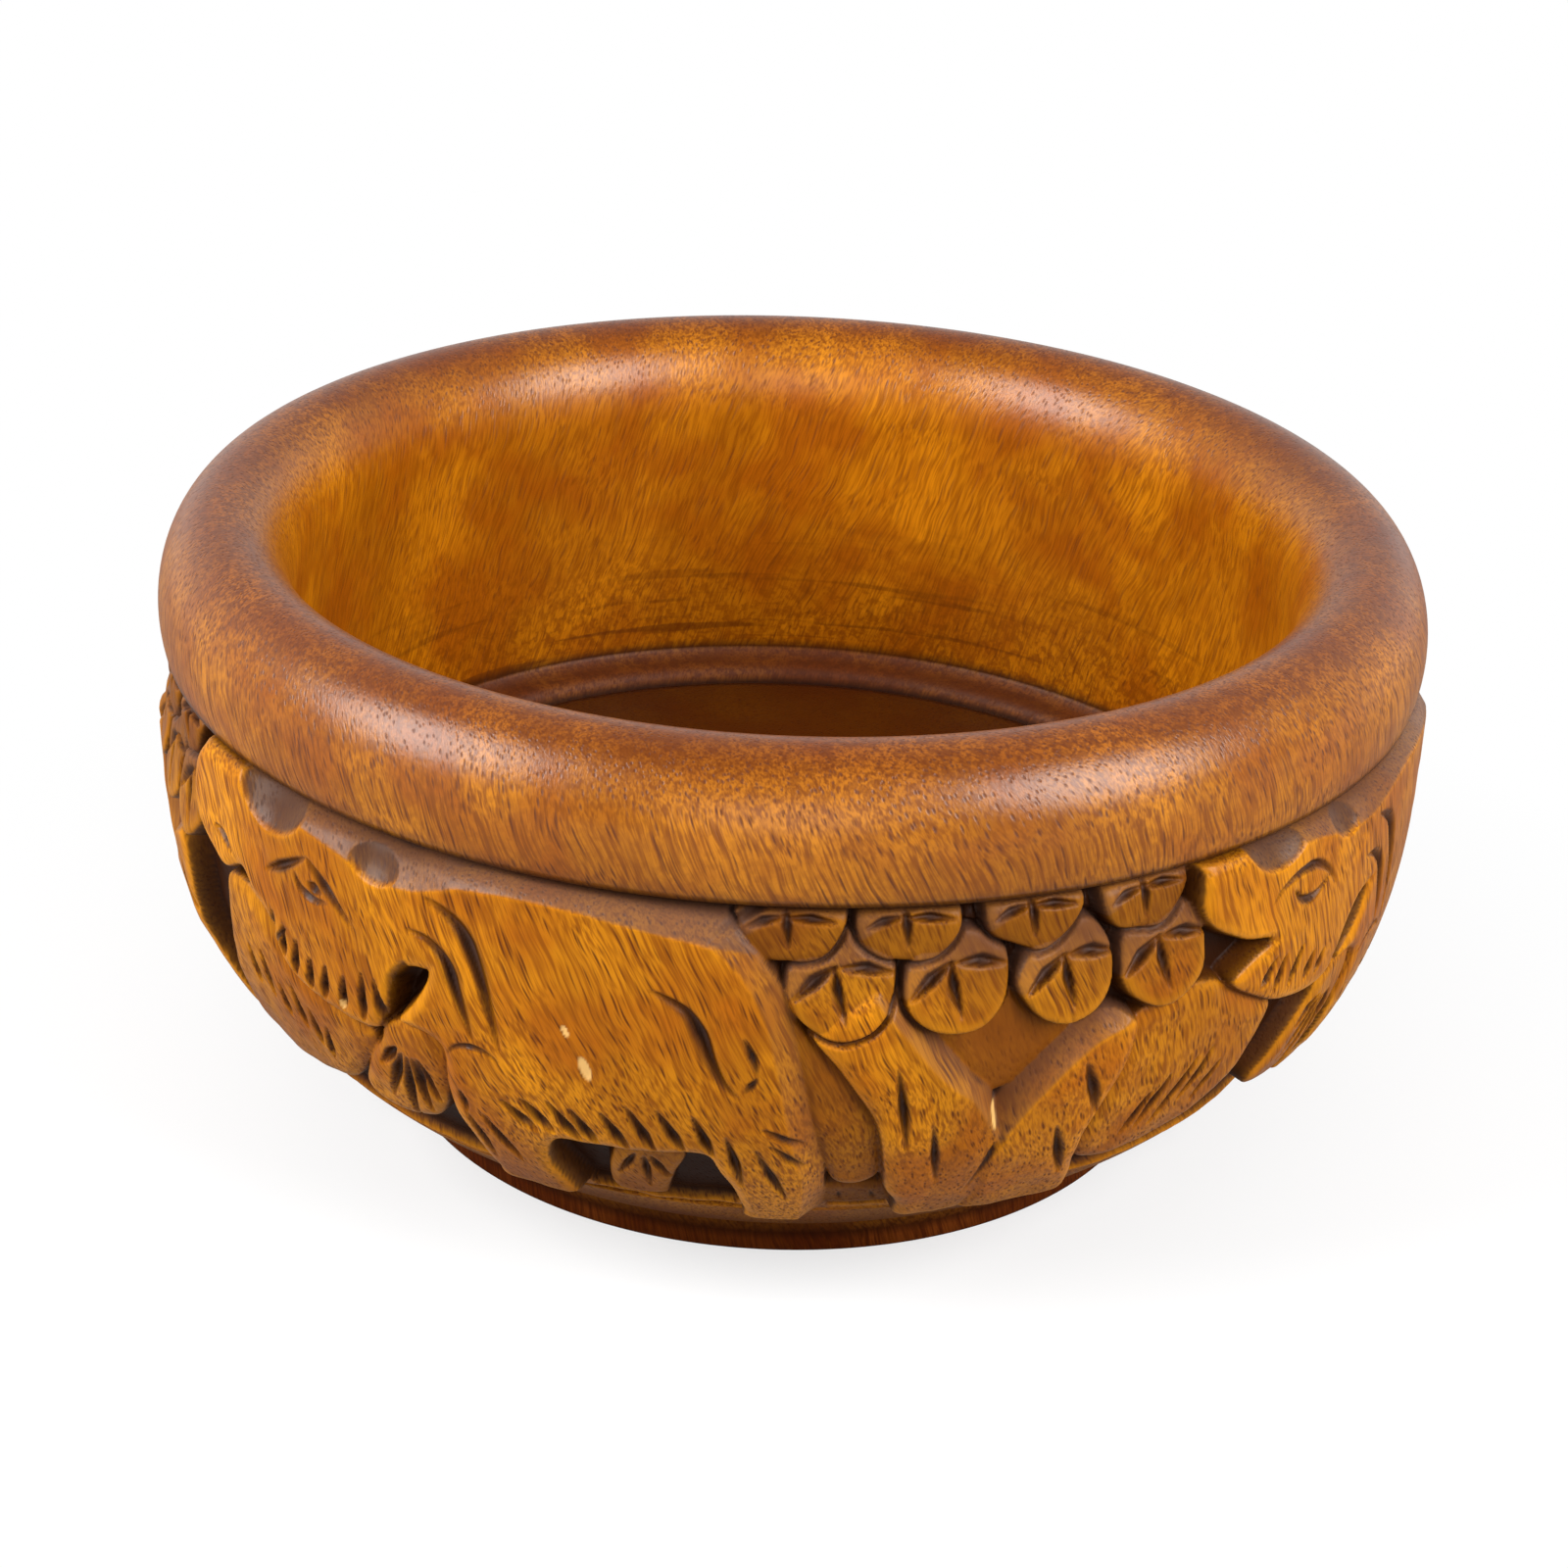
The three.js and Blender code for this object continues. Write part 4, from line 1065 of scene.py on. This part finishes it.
def oiled_hardwood(name, tones, darkness):
    """Open-pored hardwood, turned and carved from a length of trunk, stained, oiled and rubbed.

    The grain stands upright and winds a little round the trunk, so the walls show leaning vessel
    streaks and the rim's top shows their cut ends as dots. The oil gives a satin shine, and dark
    stain and old wax stay in the cuts, along with painted shade in recesses and painted reflection on
    up-facing bevels.
    """
    material = bpy.data.materials.new(name)
    tree = new_tree(material)
    for label in ATTRIBUTES:
        add_node(tree, label, "Attribute", attribute_name=label)

    # The grain's own space: wandering, wound round the trunk, and drawn out along it.
    add_node(tree, "place", "TexCoord")
    bent = "place.Object"
    for label, size, reach in (("drift", 80, DRIFT), ("waver", 15, WAVER)):
        add_node(tree, label, "TexNoise", {"Vector": "place.Object", "Scale": per_mm(size), "Detail": 1.0})
        way = {0: label + ".Color", 1: (0.5, 0.5, 0.5)}
        add_node(tree, label + "_way", "VectorMath", way, operation="SUBTRACT")
        scaled = {0: label + "_way.0", "Scale": reach}
        add_node(tree, label + "_reach", "VectorMath", scaled, operation="SCALE")
        add_node(tree, label + "_bent", "VectorMath", {0: bent, 1: label + "_reach.0"}, operation="ADD")
        bent = label + "_bent.0"
    add_node(tree, "height", "SeparateXYZ", {0: bent})
    add_node(tree, "turn", "Math", {0: "height.Z", 1: SPIRAL}, operation="MULTIPLY")
    add_node(tree, "grain", "VectorRotate", {"Vector": bent, "Angle": "turn.0"}, rotation_type="Z_AXIS")
    for label, stretch in (("cloudy", 2), ("drawn", 15), ("long", 26)):
        add_node(tree, label, "VectorMath", {0: "grain.0", 1: (1, 1, 1 / stretch)}, operation="MULTIPLY")
    # Sizes in millimetres: bands of growth, streaks between the vessels, fibres, a hand's blotches, and
    # the mottled figure that cut ends show.
    fields = (
        ("slow", "cloudy.0", 30, 3.0, 0.55),
        ("streaks", "long.0", 0.8, 1.0, 0.6),
        ("fibres", "drawn.0", 0.5, 1.0, 0.6),
        ("patches", "place.Object", 22, 3.0, 0.6),
        ("mottle", "place.Object", 2.2, 2.0, 0.7),
    )
    for label, space, size, detail, roughness in fields:
        pattern = {"Vector": space, "Scale": per_mm(size), "Detail": detail, "Roughness": roughness}
        add_node(tree, label, "TexNoise", pattern)
    # Open vessels about a millimetre apart.
    add_node(tree, "vessels", "TexVoronoi", {"Vector": "drawn.0", "Scale": per_mm(0.95)})
    # Faint rings that the turning tool left, seen low on the inner wall.
    add_node(tree, "flattened", "VectorMath", {0: "place.Object", 1: (0.06, 0.06, 1)}, operation="MULTIPLY")
    add_node(tree, "rings", "TexNoise", {"Vector": "flattened.0", "Scale": per_mm(3), "Detail": 2.0})

    # Each share: its source, the source's range, and the share at the range's ends.
    shares = (
        ("slow_share", "slow.0", 0.34, 0.66, 0.4, 1.0),
        ("vessel_share", "vessels.0", 0.14, 0.36, 1.0, 0.0),
        ("streak_share", "streaks.0", 0.48, 0.66, 0.0, 1.0),
        ("fibre_share", "fibres.0", 0.45, 0.65, 0.0, 0.6),
        ("patch_share", "patches.0", 0.44, 0.64, 0.0, 0.9),
        ("mottle_share", "mottle.0", 0.46, 0.60, 0.0, 0.7),
        ("ring_share", "rings.0", 0.58, 0.66, 0.0, 0.6),
        ("outside", "inside.Fac", 0.0, 1.0, 0.85, 0.4),
        ("low_wall", "height.Z", 0.085, 0.058, 0.0, 1.0),
    )
    for label, source, low, high, start, end in shares:
        add_node(tree, label, "MapRange", {0: source, 1: low, 2: high, 3: start, 4: end})
    products = (
        ("rim_mottle", "mottle_share.0", "rim.Fac"),
        ("wall_low", "low_wall.0", "inside.Fac"),
        ("wall_rings", "ring_share.0", "wall_low.0"),
        ("wall_mottle", "mottle_share.0", "wall_low.0"),
        ("pore_share", "vessel_share.0", "outside.0"),
        ("grain_share", "streak_share.0", "outside.0"),
        ("hollow_share", "hollow.Fac", 0.85),
        ("stain_share", "stain.Fac", 0.95),
        ("wax_share", "wax.Fac", 0.7),
        ("crest_share", "crest.Fac", 0.5),
    )
    for label, first, second in products:
        add_node(tree, label, "Math", {0: first, 1: second}, operation="MULTIPLY")

    # Each layer: how much it covers, what lies under it and what lies over. Three only multiply the base.
    layers = (
        ("walls", "inside.Fac", colour(tones["honey"]), colour(tones["amber"])),
        ("rims", "rim.Fac", "walls.2", colour(tones["russet"])),
        ("base", "foot.Fac", "rims.2", colour(tones["foot"])),
        ("light", 1.0, "base.2", (1.28, 1.38, 1.0, 1.0)),
        ("dark", 1.0, "base.2", (0.43, 0.33, 0.21, 1.0)),
        ("red", 1.0, "base.2", (0.70, 0.54, 0.35, 1.0)),
        ("tone_1", "slow_share.0", "dark.2", "light.2"),
        ("tone_2", "patch_share.0", "tone_1.2", "red.2"),
        ("tone_3", "grain_share.0", "tone_2.2", "dark.2"),
        ("tone_4", "fibre_share.0", "tone_3.2", "dark.2"),
        ("tone_5", "rim_mottle.0", "tone_4.2", "dark.2"),
        ("tone_6", "wall_mottle.0", "tone_5.2", "dark.2"),
        ("tone_7", "wall_rings.0", "tone_6.2", colour(tones["pore"])),
        ("tone_8", "pore_share.0", "tone_7.2", colour(tones["pore"])),
        ("tone_9", "crest_share.0", "tone_8.2", "light.2"),
        # Browner ground with painted shade, stain with painted shade, and old wax with painted reflection.
        ("tone_10", "hollow_share.0", "tone_9.2", colour(tones["hollow"])),
        ("tone_11", "stain_share.0", "tone_10.2", colour(tones["stain"])),
        ("tone_12", "wax_share.0", "tone_11.2", colour(tones["wax"])),
        ("tone_13", "bare.Fac", "tone_12.2", colour(tones["bare"])),
        ("tone_14", darkness, "tone_13.2", colour(tones["floor"])),
    )
    for label, factor, under, over in layers:
        blend = "MULTIPLY" if label in ("light", "dark", "red") else "MIX"
        add_node(tree, label, "Mix", {0: factor, 6: under, 7: over}, data_type="RGBA", blend_type=blend)

    # Each sum: a value times a share, plus the rest. First the bump's height, then roughness and gloss.
    sums = (
        ("pits", "vessel_share.0", -0.5, 0.0),
        ("fine", "fibres.0", 0.4, "pits.0"),
        ("relief", "streaks.0", 0.3, "fine.0"),
        ("wet", "slow_share.0", 0.06, 0.28),
        ("dull", "hollow.Fac", 0.14, "wet.0"),
        ("worn", "foot.Fac", 0.35, "dull.0"),
        ("shine", "vessel_share.0", 0.12, "worn.0"),
        ("unpolished", "foot.Fac", -0.1, 0.14),
        ("sheltered", "hollow.Fac", -0.06, "unpolished.0"),
        ("gloss", "polish.Fac", 0.25, "sheltered.0"),
    )
    for label, value, share, rest in sums:
        add_node(tree, label, "Math", {0: value, 1: share, 2: rest}, operation="MULTIPLY_ADD")
    add_node(tree, "bump", "Bump", {"Strength": 0.3, "Distance": 0.0003, "Height": "relief.0"})
    wood = {"Base Color": "tone_14.2", "Roughness": "shine.0", "Normal": "bump.0", "IOR": 1.5}
    add_node(tree, "surface", "BsdfPrincipled", {**wood, "Specular IOR Level": "gloss.0"})
    add_node(tree, "output", "OutputMaterial", {"Surface": "surface.0"})
    return material


def wood_tones(context):
    """The wood's colours by name."""
    colours = context.scene.bowl_colours
    return {name: tuple(getattr(colours, name)) for name in colours.__annotations__}


class BOWL_OT_body(bpy.types.Operator):
    """Makes the turned and carved body in place of its plain solid"""

    bl_idname = "bowl.make_body"
    bl_label = "Turned and carved body"

    def execute(self, context):
        piece = body_shell(context.scene.bowl_sizes, context.scene.bowl_carving).build("carved_body")
        wood = oiled_hardwood("oiled_hardwood_carved", wood_tones(context), 0.0)
        piece.data.materials.append(wood)
        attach(piece, BODY)
        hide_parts("bowl_body")
        return {"FINISHED"}


class BOWL_OT_floor_disc(bpy.types.Operator):
    """Makes the dark disc that is let into the floor"""

    bl_idname = "bowl.make_floor_disc"
    bl_label = "Floor disc"

    def execute(self, context):
        piece = disc_shell(context.scene.bowl_sizes).build("turned_floor_disc")
        wood = oiled_hardwood("oiled_hardwood_dark_disc", wood_tones(context), DISC_DARKNESS)
        piece.data.materials.append(wood)
        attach(piece, BODY)
        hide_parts("floor_disc")
        return {"FINISHED"}


# The studio.
IMAGE_SIDE = 1600
SENSOR = 36.0
RIM_CENTRE_PX = (1.832, -204.415)  # where the middle of the rim lies from the picture's middle


def place_camera(context, sizes):
    """The photograph's point of view, as a fit to the ellipses of the rim and the groove gives it."""
    studio = context.scene.bowl_studio
    data = bpy.data.cameras.new("camera")
    data.sensor_width = SENSOR
    data.lens = studio.lens
    data.clip_start, data.clip_end = 0.01, 20
    camera = bpy.data.objects.new("camera", data)
    context.scene.collection.objects.link(camera)
    middle = Vector((0, 0, Turning(sizes).roll_z))
    away = Vector((0, -math.cos(studio.elevation), math.sin(studio.elevation))) * studio.distance
    ahead = -away.normalized()
    right = Vector((1, 0, 0))
    up = right.cross(ahead)
    focal = studio.lens / SENSOR * IMAGE_SIDE
    look = ahead - right * (RIM_CENTRE_PX[0] / focal) + up * (RIM_CENTRE_PX[1] / focal)
    look.normalize()
    right = look.cross(Vector((0, 0, 1))).normalized()
    up = right.cross(look)
    c, s = math.cos(studio.roll), math.sin(studio.roll)
    right, up = c * right + s * up, c * up - s * right
    matrix = camera.matrix_world.copy()
    for row in range(3):
        matrix[row][0], matrix[row][1] = right[row], up[row]
        matrix[row][2], matrix[row][3] = -look[row], (middle + away)[row]
    camera.matrix_world = matrix
    context.scene.camera = camera


SHEET_HALF = 3.0
SHEET_SHADE = 0.3
# Round lamps: the name, the place and the size in metres, and the power in watts.
LAMPS = (
    ("left_box", (-0.95, -0.42, 0.70), 0.75, 18.4),
    ("right_box", (0.86, -0.60, 0.72), 0.75, 17.5),
    ("front_box", (0.0, -1.3, 0.55), 0.7, 3.2),
)
LAMP_TARGET = Vector((0, 0, 0.09))
ROOM_IN_FRONT, ROOM_BEHIND = 0.12, 0.4  # how bright the room is for the bowl


def soft_light(name, place, size, power):
    """A round lamp that faces the bowl."""
    data = bpy.data.lights.new(name, "AREA")
    data.shape, data.size, data.energy = "DISK", size, power
    light = bpy.data.objects.new(name, data)
    bpy.context.scene.collection.objects.link(light)
    light.location = place
    light.rotation_euler = (LAMP_TARGET - Vector(place)).to_track_quat("-Z", "Y").to_euler()


def tell_rays(tree):
    """Adds "rays", and "mirrored", which is 1 for mirrored and bent rays."""
    add_node(tree, "rays", "LightPath")
    either = {0: "rays.Is Glossy Ray", 1: "rays.Is Transmission Ray"}
    add_node(tree, "mirrored", "Math", either, operation="MAXIMUM")


def white_sheet(shade):
    """A matt sheet, seen as plain white away from the bowl, that throws little light back up."""
    material = bpy.data.materials.new("matt_white_sheet")
    tree = new_tree(material)
    tell_rays(tree)
    add_node(tree, "shade", "MapRange", {0: "rays.Is Camera Ray", 3: shade, 4: 0.9})
    add_node(tree, "sheet", "BsdfDiffuse", {"Color": "shade.0"})
    add_node(tree, "glow", "Emission", {"Strength": 1.0})
    add_node(tree, "place", "TexCoord")
    add_node(tree, "reach", "VectorMath", {0: "place.Object"}, operation="LENGTH")
    add_node(tree, "far", "MapRange", {0: "reach.Value", 1: 0.10, 2: 0.24, 3: 0.6, 4: 1.0})
    add_node(tree, "beyond", "MapRange", {0: "reach.Value", 1: 0.45, 2: 1.2, 3: 0.0, 4: 1.0})
    add_node(tree, "seen_straight", "Math", {0: "rays.Is Camera Ray", 1: "far.0"}, operation="MULTIPLY")
    add_node(tree, "seen_mirrored", "Math", {0: "mirrored.0", 1: "beyond.0"}, operation="MULTIPLY")
    add_node(tree, "seen", "Math", {0: "seen_straight.0", 1: "seen_mirrored.0"}, operation="MAXIMUM")
    add_node(tree, "mix", "MixShader", {0: "seen.0", 1: "sheet.0", 2: "glow.0"})
    add_node(tree, "output", "OutputMaterial", {"Surface": "mix.0"})
    return material


def studio_world(front, back):
    """A plain white room to the camera, dark in front of the bowl and light behind and above it."""
    world = bpy.data.worlds.new("studio")
    tree = new_tree(world)
    tell_rays(tree)
    add_node(tree, "way", "TexCoord")
    add_node(tree, "behind", "VectorMath", {0: "way.Generated", 1: (0, 1, 0)}, operation="DOT_PRODUCT")
    add_node(tree, "backdrop", "MapRange", {0: "behind.Value", 1: -0.1, 2: 0.5, 3: 0.1, 4: 1.0})
    add_node(tree, "towards", "VectorMath", {0: "way.Generated", 1: (0, 0.6, 0.8)}, operation="DOT_PRODUCT")
    add_node(tree, "room", "MapRange", {0: "towards.Value", 1: -0.3, 2: 0.8, 3: front, 4: back})
    add_node(tree, "shown", "Mix", {0: "mirrored.0", 2: "room.0", 3: "backdrop.0"})
    add_node(tree, "strength", "Mix", {0: "rays.Is Camera Ray", 2: "shown.0", 3: 1.0})
    add_node(tree, "sky", "Background", {"Color": (1, 1, 1, 1), "Strength": "strength.0"})
    add_node(tree, "output", "OutputWorld", {"Surface": "sky.0"})
    return world


class BOWL_OT_studio(bpy.types.Operator):
    """Makes the white floor, the soft lamps and the camera"""

    bl_idname = "bowl.make_studio"
    bl_label = "Studio"

    def execute(self, context):
        place_camera(context, context.scene.bowl_sizes)
        corners = [(x * SHEET_HALF, y * SHEET_HALF, 0) for x, y in ((-1, -1), (1, -1), (1, 1), (-1, 1))]
        mesh = bpy.data.meshes.new("studio_floor")
        mesh.from_pydata(corners, [], [(0, 1, 2, 3)])
        floor = bpy.data.objects.new("studio_floor", mesh)
        context.scene.collection.objects.link(floor)
        floor.data.materials.append(white_sheet(SHEET_SHADE))
        for lamp in LAMPS:
            soft_light(*lamp)
        context.scene.world = studio_world(ROOM_IN_FRONT, ROOM_BEHIND)
        context.scene.view_settings.view_transform = "Standard"
        return {"FINISHED"}


class BOWL_PT_panel(bpy.types.Panel):
    bl_label = "Carved salad bowl"
    bl_idname = "BOWL_PT_panel"
    bl_space_type = "VIEW_3D"
    bl_region_type = "UI"
    bl_category = "Bowl"

    def draw(self, context):
        for label in GROUPS:
            group = getattr(context.scene, label)
            box = self.layout.box()
            for name in group.__annotations__:
                box.prop(group, name)
        for operator in OPERATORS:
            self.layout.operator(operator.bl_idname)


GROUPS = {
    "bowl_sizes": BowlSizes,
    "bowl_carving": CarvingSizes,
    "bowl_colours": WoodColours,
    "bowl_studio": StudioSettings,
}
OPERATORS = (BOWL_OT_body, BOWL_OT_floor_disc, BOWL_OT_studio)


def register():
    for cls in (*GROUPS.values(), *OPERATORS, BOWL_PT_panel):
        bpy.utils.register_class(cls)
    for name, cls in GROUPS.items():
        setattr(bpy.types.Scene, name, bpy.props.PointerProperty(type=cls))


def unregister():
    for name in GROUPS:
        delattr(bpy.types.Scene, name)
    for cls in (BOWL_PT_panel, *reversed(OPERATORS), *reversed(GROUPS.values())):
        bpy.utils.unregister_class(cls)


def main():
    register()
    bpy.ops.bowl.make_studio()
    bpy.ops.bowl.make_body()
    bpy.ops.bowl.make_floor_disc()
    bpy.context.view_layer.update()


if __name__ == "__main__":
    main()
